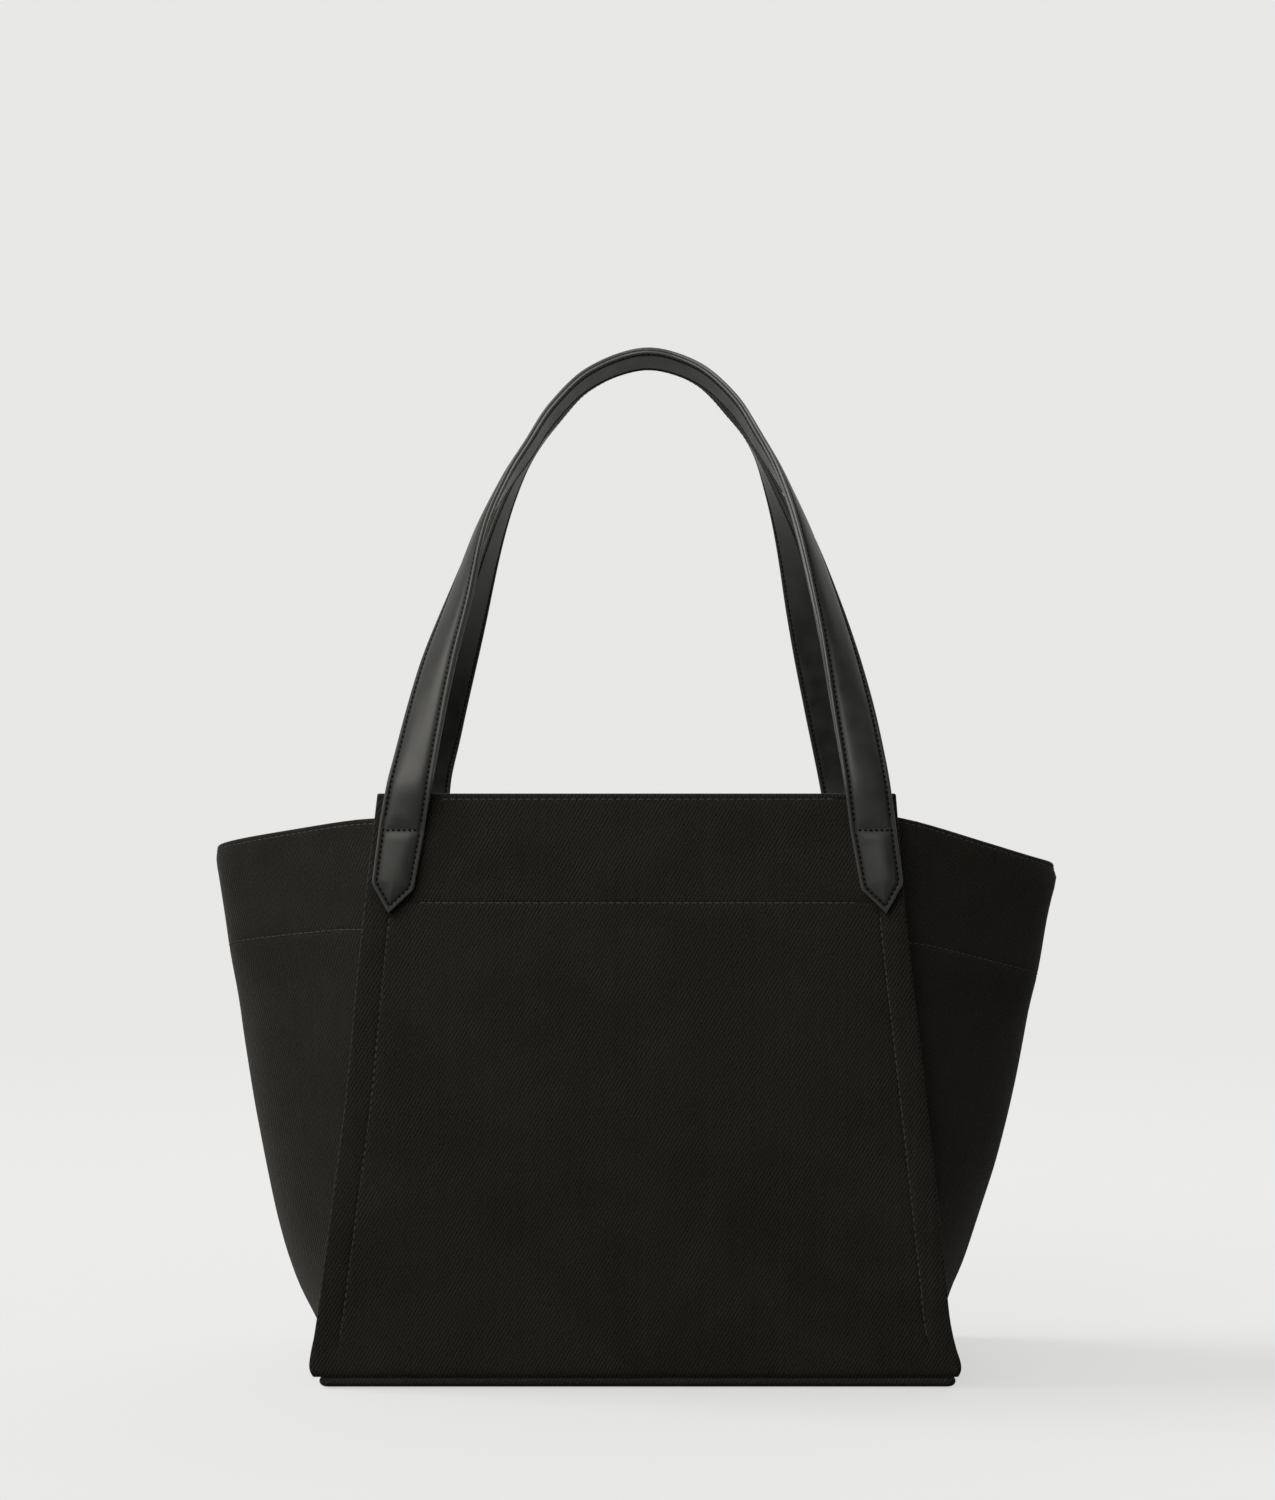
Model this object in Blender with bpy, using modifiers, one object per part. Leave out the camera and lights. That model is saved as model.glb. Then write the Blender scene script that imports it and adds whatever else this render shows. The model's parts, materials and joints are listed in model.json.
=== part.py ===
"""Winged twill tote bag with two twisted leather shoulder handles, in metres, +Z up.

The origin is on the floor under the middle of the bag and the front panel faces -Y. Every cloth
piece is a flat grid bent to its place and given its thickness. The two handle loops turn about the
cross seams at the top of their four sewn-down tabs; everything else is sewn into one body.
"""

import math

import bmesh
import bpy
from mathutils import Vector

# Body, outside sizes
BODY_DEPTH = 0.165
BODY_HEIGHT = 0.315
PANEL_TOP_WIDTH = 0.275
PANEL_BASE_WIDTH = 0.345
PANEL_CORNER_HEIGHT = 0.009
PANEL_CORNER_CUT = 0.0035
FLANGE = 0.0138
HEM = 0.0094
LAP = 0.006

# Wings: heights are drops below the straight top edge, the crease is a Bezier in its own plane
WING_JUNCTION_DROP = 0.014
WING_TIP_DROP = 0.031
WING_TIP_X = 0.234
WING_FOOT_X = 0.160
WING_FOOT_PULL = (0.035, 0.036)
WING_TIP_PULL = (0.023, 0.134)
CREASE_SOFTNESS_FOOT = 0.040
CREASE_SOFTNESS_TIP = 0.012

# Cloth and board thicknesses
CLOTH = 0.0014
FACING_CLOTH = 0.0012
LINING_CLOTH = 0.0006
STIFFENER = 0.0010
BOARD = 0.0026
GAP = 0.0003

# Base tray
BASE_LENGTH = 0.338
BASE_CORNER = 0.006
BASE_SEAM_HEIGHT = 0.0056
BASE_RIM = 0.004

# Inside
FACING_DEPTH = 0.058
FACING_SET_BACK = 0.001
BAND_WIDTH = 0.044
LINING_START = 0.004
LINING_SLACK = 0.0007

# Straps and their pointed tabs
STRAP_WIDTH = 0.0242
LEATHER = 0.00165
PAD_CREST = 0.0015
PAD_HALF_WIDTH = 0.0075
PAD_SHOULDER = 0.005
CORE_HALF_WIDTH = 0.0046
CORE_THICKNESS = 0.0009
STRAP_INSET = 0.0037
STRAP_STAND_OFF = 0.0005
STRAP_TILT = math.radians(9)
TAB_SIDE = 0.0317
TAB_POINT = 0.0145
TAB_CORNER_WIDTH = 0.0225
TAB_BORDER = 0.0042
TAB_PAD_SLOPE = 0.0014

# Handle loops: measured from the cross seam at the top of the tabs
SEAM_DROP = 0.018
HANDLE_RISE = 0.2592
HANDLE_LEG_PULL = 0.1215
HANDLE_SHOULDER = 0.065
HANDLE_SWAY = 0.004
HANDLE_PARTING = 0.001
STRAP_FLAT = 0.0215
LEAN_EASE = 0.1

# Mesh resolution
PANEL_ROWS = 6
CORNER_STEPS = 3
FOLD_STEPS = 4
LINING_ROWS = 8
FACING_ROWS = 2
WING_STEPS = 7
CREASE_CROWDING = 1.8
CREASE_HALVINGS = 30
SLOPE_STEP = 0.001
LEG_STATIONS = 20
BASE_CORNER_STEPS = 4
SHARP_ANGLE = math.radians(35)

FRONT, REAR = -1, 1
LEFT, RIGHT = -1, 1
END_NAMES = {FRONT: "front", REAR: "rear"}
SIDE_NAMES = {LEFT: "left", RIGHT: "right"}

LEATHER_PAIR = LEATHER + GAP / 2
PANEL_FOOT = BASE_SEAM_HEIGHT + GAP
WING_FOOT = PANEL_FOOT + CLOTH / 2 * math.sin(math.atan2(*WING_FOOT_PULL))
LAP_Y = BODY_DEPTH / 2 - CLOTH - GAP - CLOTH / 2
SEAM_HEIGHT = BODY_HEIGHT - SEAM_DROP
STRAP_MIDDLE_Y = BODY_DEPTH / 2 + STRAP_STAND_OFF + LEATHER_PAIR
HINGE_Y = STRAP_MIDDLE_Y + LEATHER_PAIR + PAD_CREST
SEAM_X = PANEL_TOP_WIDTH / 2 - STRAP_INSET - STRAP_WIDTH / 2 + SEAM_DROP * math.tan(STRAP_TILT)


def lerp(start, end, share):
    return start + (end - start) * share


def bezier(points, t):
    """Point at 0 <= t <= 1 on the cubic Bezier through four control points."""
    p0, p1, p2, p3 = (Vector(point) for point in points)
    s = 1 - t
    return p0 * s**3 + p1 * 3 * s**2 * t + p2 * 3 * s * t**2 + p3 * t**3


def make_material(name, colour, roughness):
    material = bpy.data.materials.new(name)
    material.use_nodes = True
    shader = material.node_tree.nodes["Principled BSDF"]
    shader.inputs["Base Color"].default_value = (*colour, 1)
    shader.inputs["Roughness"].default_value = roughness
    shader.inputs["Metallic"].default_value = 0
    return material


def add_object(name, bm, material, hinge=None):
    """Turns a bmesh in world coordinates into an object, hung on its hinge's empty if it moves."""
    origin = Vector() if hinge is None else hinge.location
    bmesh.ops.translate(bm, verts=bm.verts, vec=-origin)
    bmesh.ops.recalc_face_normals(bm, faces=bm.faces)
    mesh = bpy.data.meshes.new(name)
    bm.to_mesh(mesh)
    bm.free()
    mesh.materials.append(material)
    obj = bpy.data.objects.new(name, mesh)
    obj.parent = hinge
    TOTE.objects.link(obj)
    return obj


def bent_sheet(name, rows, thickness, material, hinge=None):
    """A grid bent so that its vertices take the points of rows, then thickened evenly both ways.

    Every quad is split along the same diagonal, so that layers that lie together stay parallel.
    """
    up = len(rows) - 1
    across = len(rows[0]) - 1
    bm = bmesh.new()
    bmesh.ops.create_grid(bm, x_segments=across, y_segments=up, size=0.5)
    for vert in bm.verts:
        column = round((vert.co.x + 0.5) * across)
        row = round((vert.co.y + 0.5) * up)
        vert.co = rows[row][column]
    bmesh.ops.triangulate(bm, faces=bm.faces, quad_method="FIXED")
    obj = add_object(name, bm, material, hinge)
    solidify = obj.modifiers.new("Thickness", "SOLIDIFY")
    solidify.thickness = thickness
    solidify.offset = 0
    solidify.use_even_offset = True
    obj.data.shade_smooth()
    obj.data.set_sharp_from_angle(angle=SHARP_ANGLE)
    return obj


def outline_face(bm, outline):
    """A flat face through (x, y) outline points, at z = 0."""
    verts = [bm.verts.new((x, y, 0)) for x, y in outline]
    face = bm.faces.new(verts)
    face.normal_update()
    return face


def raise_face(bm, face, height):
    """Extrudes a face straight up or down and returns the moved cap."""
    made = bmesh.ops.extrude_face_region(bm, geom=[face], use_keep_orig=True)["geom"]
    cap = next(item for item in made if isinstance(item, bmesh.types.BMFace))
    bmesh.ops.translate(bm, verts=cap.verts, vec=(0, 0, height))
    return cap


def box_object(name, centre, size, material, corner=0.0):
    """A box with its upright edges rounded by the given radius."""
    bm = bmesh.new()
    bmesh.ops.create_cube(bm, size=1)
    bmesh.ops.scale(bm, verts=bm.verts, vec=size)
    if corner:
        upright = [e for e in bm.edges if abs(e.verts[0].co.z - e.verts[1].co.z) > size[2] / 2]
        bmesh.ops.bevel(
            bm, geom=upright, offset=corner, segments=BASE_CORNER_STEPS, profile=0.5, affect="EDGES"
        )
    bmesh.ops.translate(bm, verts=bm.verts, vec=centre)
    return add_object(name, bm, material)


def panel_half_width(height):
    """Half width of the front and rear panels, flanges included."""
    return lerp(PANEL_BASE_WIDTH, PANEL_TOP_WIDTH, height / BODY_HEIGHT) / 2


def stitch_x(height):
    """Where the flange's topstitching runs, which is where the gusset leaves the panel."""
    return panel_half_width(height) - FLANGE


def corner_cut(height):
    """How much the rounded bottom corner takes off the panel's half width."""
    share = min(1.0, (height - PANEL_FOOT) / PANEL_CORNER_HEIGHT)
    return PANEL_CORNER_CUT * (1 + math.cos(math.pi * share)) / 2


def panel_heights():
    start = PANEL_FOOT + PANEL_CORNER_HEIGHT
    corner = [lerp(PANEL_FOOT, start, i / CORNER_STEPS) for i in range(CORNER_STEPS)]
    return corner + [lerp(start, BODY_HEIGHT, i / PANEL_ROWS) for i in range(PANEL_ROWS + 1)]


def panel_half_section(height):
    """Points (x, depth behind the middle of the cloth) from the centre out and round the hem."""
    edge = panel_half_width(height) - corner_cut(height)
    fold = (CLOTH + GAP) / 2
    fold_centre = edge - CLOTH / 2 - fold
    points = [(0.0, 0.0), (stitch_x(height), 0.0)]
    for i in range(FOLD_STEPS + 1):
        angle = math.pi * i / FOLD_STEPS
        points.append((fold_centre + fold * math.sin(angle), fold - fold * math.cos(angle)))
    points.append((edge - HEM, 2 * fold))
    return points


def make_panel(end):
    """Front or rear panel, its side edges turned in behind the flanges."""
    face_y = BODY_DEPTH / 2 - CLOTH / 2
    rows = []
    for height in panel_heights():
        right = panel_half_section(height)
        left = [(-x, y) for x, y in reversed(right[1:])]
        rows.append([Vector((x, end * (face_y - y), height)) for x, y in left + right])
    bent_sheet(f"{END_NAMES[end]}_panel", rows, CLOTH, TWILL)


def crease(height):
    """Half width at the crease of the wing: the Bezier in x and z, solved for the height."""
    foot = (WING_FOOT_X, WING_FOOT)
    tip = (WING_TIP_X, BODY_HEIGHT - WING_TIP_DROP)
    points = (
        foot,
        (foot[0] + WING_FOOT_PULL[0], foot[1] + WING_FOOT_PULL[1]),
        (tip[0] - WING_TIP_PULL[0], tip[1] - WING_TIP_PULL[1]),
        tip,
    )
    low, high = 0.0, 1.0
    for _ in range(CREASE_HALVINGS):
        middle = (low + high) / 2
        if bezier(points, middle).y < height:
            low = middle
        else:
            high = middle
    return bezier(points, low).x


def wing_x(y, height):
    """Half width of the bag at one depth and height of a wing: a V with a soft nose at the crease."""
    share = (height - WING_FOOT) / (BODY_HEIGHT - WING_FOOT)
    soft = lerp(CREASE_SOFTNESS_FOOT, CREASE_SOFTNESS_TIP, share)
    fall = crease(height) - stitch_x(height)
    return crease(height) - fall * (math.hypot(y, soft) - soft) / (math.hypot(LAP_Y, soft) - soft)


def wing_point(y, height, inset):
    """Point on the wing, moved square to the cloth towards the inside of the bag by inset."""
    slope_y = (wing_x(y + SLOPE_STEP, height) - wing_x(y - SLOPE_STEP, height)) / (2 * SLOPE_STEP)
    slope_z = (wing_x(y, height + SLOPE_STEP) - wing_x(y, height - SLOPE_STEP)) / (2 * SLOPE_STEP)
    return Vector((wing_x(y, height) - inset * math.hypot(1, slope_y, slope_z), y, height))


def wing_depths():
    """Depths of the columns of wing points, closest at the crease; the outer two are the seams."""
    steps = [i / WING_STEPS for i in range(-WING_STEPS, WING_STEPS + 1)]
    reach = LAP_Y - LINING_START
    inner = [reach * math.copysign(abs(step) ** CREASE_CROWDING, step) for step in steps]
    return [-LAP_Y] + inner + [LAP_Y]


def wing_rim(y):
    """Height of the wing's top edge, which falls from the flange to the crease."""
    return BODY_HEIGHT - lerp(WING_TIP_DROP, WING_JUNCTION_DROP, abs(y) / LAP_Y)


def wing_levels(rim):
    """Heights of the rows of points below one place on the wing's rim: lining, then facing."""
    seam = rim - FACING_DEPTH
    low = [lerp(WING_FOOT, seam, j / LINING_ROWS) for j in range(LINING_ROWS)]
    return low + [lerp(seam, rim, j / FACING_ROWS) for j in range(FACING_ROWS + 1)]


def wing_rows(depths, first, last, lift=0.0, drop=0.0, inset=0.0):
    """Rows of wing points between two levels, with its lowest row lifted and its highest lowered."""
    columns = []
    for y in depths:
        heights = wing_levels(wing_rim(y))[first : last + 1]
        heights[0] += lift
        heights[-1] -= drop
        columns.append([wing_point(y, height, inset) for height in heights])
    return [list(row) for row in zip(*columns)]


def mirrored(rows, side):
    return [[Vector((side * point.x, point.y, point.z)) for point in row] for row in rows]


def make_gusset(side):
    """Wing of one side: its lapped edges lie behind the panels, the cloth between is creased."""
    rows = []
    for row in wing_rows(wing_depths(), 0, LINING_ROWS + FACING_ROWS):
        front_lap = row[0] - Vector((LAP, 0, 0))
        rear_lap = row[-1] - Vector((LAP, 0, 0))
        rows.append([front_lap] + row + [rear_lap])
    bent_sheet(f"{SIDE_NAMES[side]}_gusset", mirrored(rows, side), CLOTH, TWILL)


def make_gusset_inside(side):
    """Facing at the wing's mouth and the lining that hangs below it."""
    inner = wing_depths()[1:-1]
    top = LINING_ROWS + FACING_ROWS
    inset = CLOTH / 2 + LINING_SLACK + FACING_CLOTH / 2
    rows = wing_rows(inner, LINING_ROWS, top, 0, FACING_SET_BACK, inset)
    bent_sheet(f"{SIDE_NAMES[side]}_facing", mirrored(rows, side), FACING_CLOTH, TWILL)
    inset = CLOTH / 2 + LINING_SLACK + LINING_CLOTH / 2
    rows = wing_rows(inner, 0, LINING_ROWS, LINING_CLOTH + GAP, GAP, inset)
    bent_sheet(f"{SIDE_NAMES[side]}_lining", mirrored(rows, side), LINING_CLOTH, LINING)


def flat_layer(name, end, depth, thickness, low, high, material):
    """A trapezoid layer inside a panel, between the two gusset laps."""
    y = end * (BODY_DEPTH / 2 - depth - thickness / 2)
    rows = []
    for height in (low, high):
        half = stitch_x(height) - LAP - GAP
        rows.append([Vector((-half, y, height)), Vector((half, y, height))])
    bent_sheet(name, rows, thickness, material)


def make_panel_inside(end):
    """Stiffener, handle band, facing and lining, from the cloth inwards."""
    name = END_NAMES[end]
    first = CLOTH + GAP
    second = first + STIFFENER + GAP
    top = BODY_HEIGHT - FACING_SET_BACK
    band_foot = SEAM_HEIGHT - BAND_WIDTH
    facing_foot = BODY_HEIGHT - FACING_DEPTH
    lining_foot = PANEL_FOOT + LINING_CLOTH + GAP
    flat_layer(
        f"{name}_stiffener", end, first, STIFFENER, PANEL_FOOT, band_foot - GAP, STIFFENER_FELT
    )
    flat_layer(f"{name}_handle_band", end, first, STIFFENER, band_foot, top, WEBBING)
    flat_layer(f"{name}_facing", end, second, FACING_CLOTH, facing_foot, top, TWILL)
    flat_layer(
        f"{name}_lining", end, second, LINING_CLOTH, lining_foot, facing_foot - GAP, LINING
    )


def make_base():
    """Tray of twill with its rolled rim, the board in it and the lining over the board."""
    rim_room = BASE_SEAM_HEIGHT - BOARD - 2 * GAP
    tray = box_object(
        "base_panel",
        (0, 0, BASE_SEAM_HEIGHT / 2),
        (BASE_LENGTH, BODY_DEPTH, BASE_SEAM_HEIGHT),
        TWILL,
        BASE_CORNER,
    )
    bm = bmesh.new()
    bm.from_mesh(tray.data)
    top = max(bm.faces, key=lambda face: face.calc_center_median().z)
    bmesh.ops.inset_region(bm, faces=[top], thickness=BASE_RIM, use_even_offset=True)
    made = bmesh.ops.extrude_face_region(bm, geom=[top])["geom"]
    floor = [item for item in made if isinstance(item, bmesh.types.BMVert)]
    bmesh.ops.translate(bm, verts=floor, vec=(0, 0, rim_room - BASE_SEAM_HEIGHT))
    bmesh.ops.delete(bm, geom=[top], context="FACES")
    bmesh.ops.recalc_face_normals(bm, faces=bm.faces)
    bm.to_mesh(tray.data)
    bm.free()
    around = 2 * (BASE_RIM + GAP)
    box_object(
        "base_board",
        (0, 0, rim_room + GAP + BOARD / 2),
        (BASE_LENGTH - around, BODY_DEPTH - around, BOARD),
        BOARD_GREY,
        BASE_CORNER - BASE_RIM,
    )
    inner_depth = BODY_DEPTH - 2 * (CLOTH + STIFFENER + LINING_CLOTH + 3 * GAP)
    inner_length = 2 * (stitch_x(PANEL_FOOT) - LAP)
    box_object(
        "base_lining",
        (0, 0, PANEL_FOOT + LINING_CLOTH / 2),
        (inner_length, inner_depth, LINING_CLOTH),
        LINING,
    )


def strap_bulge(across):
    """How far the padded middle of a strap stands above its stitched borders."""
    if abs(across) >= PAD_HALF_WIDTH:
        return 0.0
    return PAD_CREST * (1 - (abs(across) / PAD_HALF_WIDTH) ** 4)


def leg_points():
    """(x, rise) of the strap's middle line from the cross seam to the top of the arch."""
    pull = Vector((-math.sin(STRAP_TILT), math.cos(STRAP_TILT))) * HANDLE_LEG_PULL
    foot = Vector((SEAM_X, 0))
    top = Vector((0, HANDLE_RISE))
    control = (foot, foot + pull, top + Vector((HANDLE_SHOULDER, 0)), top)
    return [bezier(control, i / LEG_STATIONS) for i in range(LEG_STATIONS + 1)]


def running_lengths(points):
    lengths = [0.0]
    for before, after in zip(points, points[1:]):
        lengths.append(lengths[-1] + (after - before).length)
    return lengths


def lean_share(climb):
    """Share of the inward lean reached, easing in from upright, and its rate of change."""
    share = (1 + LEAN_EASE) * climb**2 / (climb + LEAN_EASE)
    rate = (1 + LEAN_EASE) * (climb**2 + 2 * LEAN_EASE * climb) / (climb + LEAN_EASE) ** 2
    return share, rate


def strap_frames(end):
    """Middle, across and outward vectors at each station of a loop, from the left leg to the right.

    The strap starts flat on the panel and turns a quarter turn, so that on top of the arch its
    outer face looks up and its inner edge has come to the front (on the rear handle, the back).
    """
    leg = leg_points()
    lengths = running_lengths(leg)
    lean_in = STRAP_MIDDLE_Y - HANDLE_PARTING / 2 - STRAP_WIDTH / 2
    upright = HANDLE_RISE - STRAP_FLAT
    order = [(LEFT, i) for i in range(LEG_STATIONS + 1)]
    order += [(RIGHT, i) for i in reversed(range(LEG_STATIONS))]
    middles, twists, fronts = [], [], []
    for side, i in order:
        x, rise = leg[i]
        share, rate = lean_share(max(0.0, rise - STRAP_FLAT) / upright)
        sway = HANDLE_SWAY * (rise / HANDLE_RISE) ** 2
        y = end * (STRAP_MIDDLE_Y - lean_in * share)
        middles.append(Vector((side * x + sway, y, SEAM_HEIGHT + rise)))
        progress = max(0.0, lengths[i] - STRAP_FLAT) / (lengths[-1] - STRAP_FLAT)
        twists.append(math.pi / 2 * math.sin(math.pi / 2 * progress))
        lean = math.atan(lean_in * rate / upright)
        fronts.append(Vector((0, end * math.cos(lean), math.sin(lean))))
    frames = []
    last = len(middles) - 1
    for k, middle in enumerate(middles):
        tangent = (middles[min(k + 1, last)] - middles[max(k - 1, 0)]).normalized()
        front = (fronts[k] - tangent * fronts[k].dot(tangent)).normalized()
        inward = tangent.cross(front) * -end
        turn = twists[k]
        across = inward * math.cos(turn) + front * math.sin(turn)
        outward = front * math.cos(turn) - inward * math.sin(turn)
        frames.append((middle, across, outward))
    return frames


def strap_rows(end, places):
    """Rows of strap points; places lists (across, outward) offsets from the middle line."""
    return [
        [middle + across * w + outward * n for w, n in places]
        for middle, across, outward in strap_frames(end)
    ]


def make_handle(end):
    """One loop: padded outer leather, flat lining leather and the filler between them."""
    name = END_NAMES[end]
    hinge = bpy.data.objects.new(f"{name}_handle_hinge", None)
    hinge.location = (0, end * HINGE_Y, SEAM_HEIGHT)
    hinge.empty_display_size = 0.02
    TOTE.objects.link(hinge)
    edge = STRAP_WIDTH / 2
    lines = (-edge, -PAD_HALF_WIDTH, -PAD_SHOULDER, 0, PAD_SHOULDER, PAD_HALF_WIDTH, edge)
    middle_of_leather = GAP / 2 + LEATHER / 2
    outer = [(w, middle_of_leather + strap_bulge(w)) for w in lines]
    lining = [(w, -middle_of_leather) for w in lines]
    core_middle = GAP / 2 + CORE_THICKNESS / 2
    core = [(w, core_middle) for w in (-CORE_HALF_WIDTH, 0, CORE_HALF_WIDTH)]
    bent_sheet(f"{name}_strap_leather", strap_rows(end, outer), LEATHER, BLACK_LEATHER, hinge)
    bent_sheet(f"{name}_strap_lining", strap_rows(end, lining), LEATHER, BLACK_LEATHER, hinge)
    bent_sheet(f"{name}_strap_core", strap_rows(end, core), CORE_THICKNESS, FILLER, hinge)


def tab_outline():
    """Pointed tab, from its cross seam at y = 0 down to the tip."""
    half = STRAP_WIDTH / 2
    corner = TAB_CORNER_WIDTH / 2
    return [
        (-half, -GAP),
        (-corner, -TAB_SIDE),
        (0, -TAB_SIDE - TAB_POINT),
        (corner, -TAB_SIDE),
        (half, -GAP),
    ]


def place_tab(obj, end, side):
    """Stands a flat tab piece against its panel, its top leaning in towards the middle."""
    obj.location = (side * SEAM_X, end * STRAP_MIDDLE_Y, SEAM_HEIGHT)
    about = 0 if end == FRONT else math.pi
    obj.rotation_euler = (math.pi / 2, side * end * STRAP_TILT, about)


def tab_cover(name):
    """Outer leather of a tab: a raised middle over a pocket that starts half a slope further in."""
    bm = bmesh.new()
    bottom = outline_face(bm, tab_outline())
    bmesh.ops.translate(bm, verts=bottom.verts, vec=(0, 0, GAP / 2))
    top = raise_face(bm, bottom, LEATHER)
    bmesh.ops.recalc_face_normals(bm, faces=bm.faces)
    for face, border, rise in (
        (top, TAB_BORDER, PAD_CREST),
        (bottom, TAB_BORDER + TAB_PAD_SLOPE / 2, -PAD_CREST),
    ):
        bmesh.ops.inset_region(bm, faces=[face], thickness=border, use_even_offset=True)
        bmesh.ops.inset_region(
            bm, faces=[face], thickness=TAB_PAD_SLOPE, depth=rise, use_even_offset=True
        )
    return add_object(name, bm, BLACK_LEATHER)


def tab_plate(name, inset, low, thickness, material):
    """A flat piece with the tab's outline, drawn in by inset."""
    bm = bmesh.new()
    face = outline_face(bm, tab_outline())
    if inset:
        ring = bmesh.ops.inset_region(
            bm, faces=[face], thickness=inset, use_even_offset=True, use_boundary=True
        )
        bmesh.ops.delete(bm, geom=ring["faces"], context="FACES")
    bmesh.ops.translate(bm, verts=bm.verts, vec=(0, 0, low))
    raise_face(bm, face, thickness)
    return add_object(name, bm, material)


def make_tab(end, side):
    """Sewn-down end of a strap: cover, filler and backing."""
    name = f"{END_NAMES[end]}_{SIDE_NAMES[side]}_tab"
    place_tab(tab_cover(name), end, side)
    pocket_start = TAB_BORDER + TAB_PAD_SLOPE / 2
    filler_inset = pocket_start + TAB_PAD_SLOPE + GAP
    filler = tab_plate(f"{name}_filler", filler_inset, GAP / 2, PAD_CREST - GAP, FILLER)
    place_tab(filler, end, side)
    backing = tab_plate(f"{name}_backing", 0, -LEATHER_PAIR, LEATHER, BLACK_LEATHER)
    place_tab(backing, end, side)


for old in list(bpy.data.objects):
    bpy.data.objects.remove(old, do_unlink=True)

TOTE = bpy.data.collections.new("Winged tote bag")
bpy.context.scene.collection.children.link(TOTE)

TWILL = make_material("Black twill", (0.012, 0.0115, 0.0095), 0.9)
LINING = make_material("Black lining", (0.016, 0.016, 0.016), 0.7)
BLACK_LEATHER = make_material("Black leather", (0.02, 0.021, 0.02), 0.42)
FILLER = make_material("Foam filler", (0.35, 0.34, 0.32), 0.95)
STIFFENER_FELT = make_material("Stiffener felt", (0.2, 0.2, 0.19), 0.95)
WEBBING = make_material("Handle band webbing", (0.03, 0.03, 0.03), 0.85)
BOARD_GREY = make_material("Base board", (0.25, 0.23, 0.2), 0.8)

make_base()
for panel_end in (FRONT, REAR):
    make_panel(panel_end)
    make_panel_inside(panel_end)
    make_handle(panel_end)
    for tab_side in (LEFT, RIGHT):
        make_tab(panel_end, tab_side)
for wing_side in (LEFT, RIGHT):
    make_gusset(wing_side)
    make_gusset_inside(wing_side)
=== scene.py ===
"""Looks of a black winged twill tote with two twisted leather handles, built around its CAD frame.

Lengths are metres in the frame's axes: the front panel faces -Y and the bag stands on z = 0.
"""

import json
import logging
import math
from bisect import bisect_right
from collections.abc import Callable
from dataclasses import dataclass, field
from enum import Enum
from functools import cache
from itertools import accumulate

import bmesh
import bpy
from mathutils import Euler, Matrix, Vector, noise

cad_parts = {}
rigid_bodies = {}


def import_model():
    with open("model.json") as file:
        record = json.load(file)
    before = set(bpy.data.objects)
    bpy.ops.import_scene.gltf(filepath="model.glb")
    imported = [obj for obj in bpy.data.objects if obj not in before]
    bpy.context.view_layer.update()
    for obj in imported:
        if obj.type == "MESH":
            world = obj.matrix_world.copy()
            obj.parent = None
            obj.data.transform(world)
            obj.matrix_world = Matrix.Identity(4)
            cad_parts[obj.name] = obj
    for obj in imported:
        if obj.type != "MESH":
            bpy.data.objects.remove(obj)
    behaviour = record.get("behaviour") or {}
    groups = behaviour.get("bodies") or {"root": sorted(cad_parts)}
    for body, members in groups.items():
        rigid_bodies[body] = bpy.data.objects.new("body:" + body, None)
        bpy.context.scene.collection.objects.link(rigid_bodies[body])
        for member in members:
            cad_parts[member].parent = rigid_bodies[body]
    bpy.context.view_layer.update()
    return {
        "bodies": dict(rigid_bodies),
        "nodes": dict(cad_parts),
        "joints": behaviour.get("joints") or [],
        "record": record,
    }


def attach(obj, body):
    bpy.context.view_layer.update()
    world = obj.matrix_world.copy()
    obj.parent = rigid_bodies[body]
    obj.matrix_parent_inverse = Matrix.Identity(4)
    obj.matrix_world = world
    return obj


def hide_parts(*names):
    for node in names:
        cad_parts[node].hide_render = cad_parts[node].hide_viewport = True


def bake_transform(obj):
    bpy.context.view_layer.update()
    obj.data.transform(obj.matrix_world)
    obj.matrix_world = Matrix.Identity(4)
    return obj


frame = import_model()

LOG = logging.getLogger("tote")
SURFACE_UV = "Surface"
EDGE_UV = "Edge"
SHARP_ANGLE = math.radians(55)

Knots = tuple[tuple[float, float], ...]
Grid = list[list[Vector]]
Ring = list[bmesh.types.BMVert]
Spot = tuple[Vector, Vector]
Curve = Callable[[float], float]
Height = Callable[[float, Vector], float]
# Round a strap: distance across, distance outwards and distance from the edge.
Profile = list[tuple[float, float, float]]
Colour = tuple[float, float, float]
Thing = bpy.types.Object
Material = bpy.types.Material
Tree = bpy.types.NodeTree
Node = bpy.types.Node
Socket = bpy.types.NodeSocket
Value = float | Socket


class Labelled(Enum):
    """A choice whose own name is the word used for it in the names of pieces."""

    @property
    def label(self) -> str:
        """The word used for it in names."""
        return self.name.lower()


class End(Labelled):
    """The bag's two broad faces, with the sign of y that each looks towards."""

    FRONT = -1
    REAR = 1


class Side(Labelled):
    """The bag's two wings, with the sign of x."""

    LEFT = -1
    RIGHT = 1


class Weave(Enum):
    """How a cloth is woven; the value is the name of its node group."""

    TWILL = "Twill weave"
    PLAIN = "Plain weave"


class Body(Enum):
    """The frame's bodies that pieces ride on."""

    BAG = "bag_body"
    FRONT_HANDLE = "front_handle"
    REAR_HANDLE = "rear_handle"


class Slot(Enum):
    """The record's material slots."""

    TWILL = "black_twill"
    LINING = "black_lining"
    LEATHER = "black_leather"
    FOAM = "foam_filler"
    FELT = "stiffener_felt"
    WEBBING = "band_webbing"


class Held(Enum):
    """How a cloth is held in place."""

    STRETCHED = "stretched"
    HUNG = "hung"
    LAID = "laid"


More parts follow.
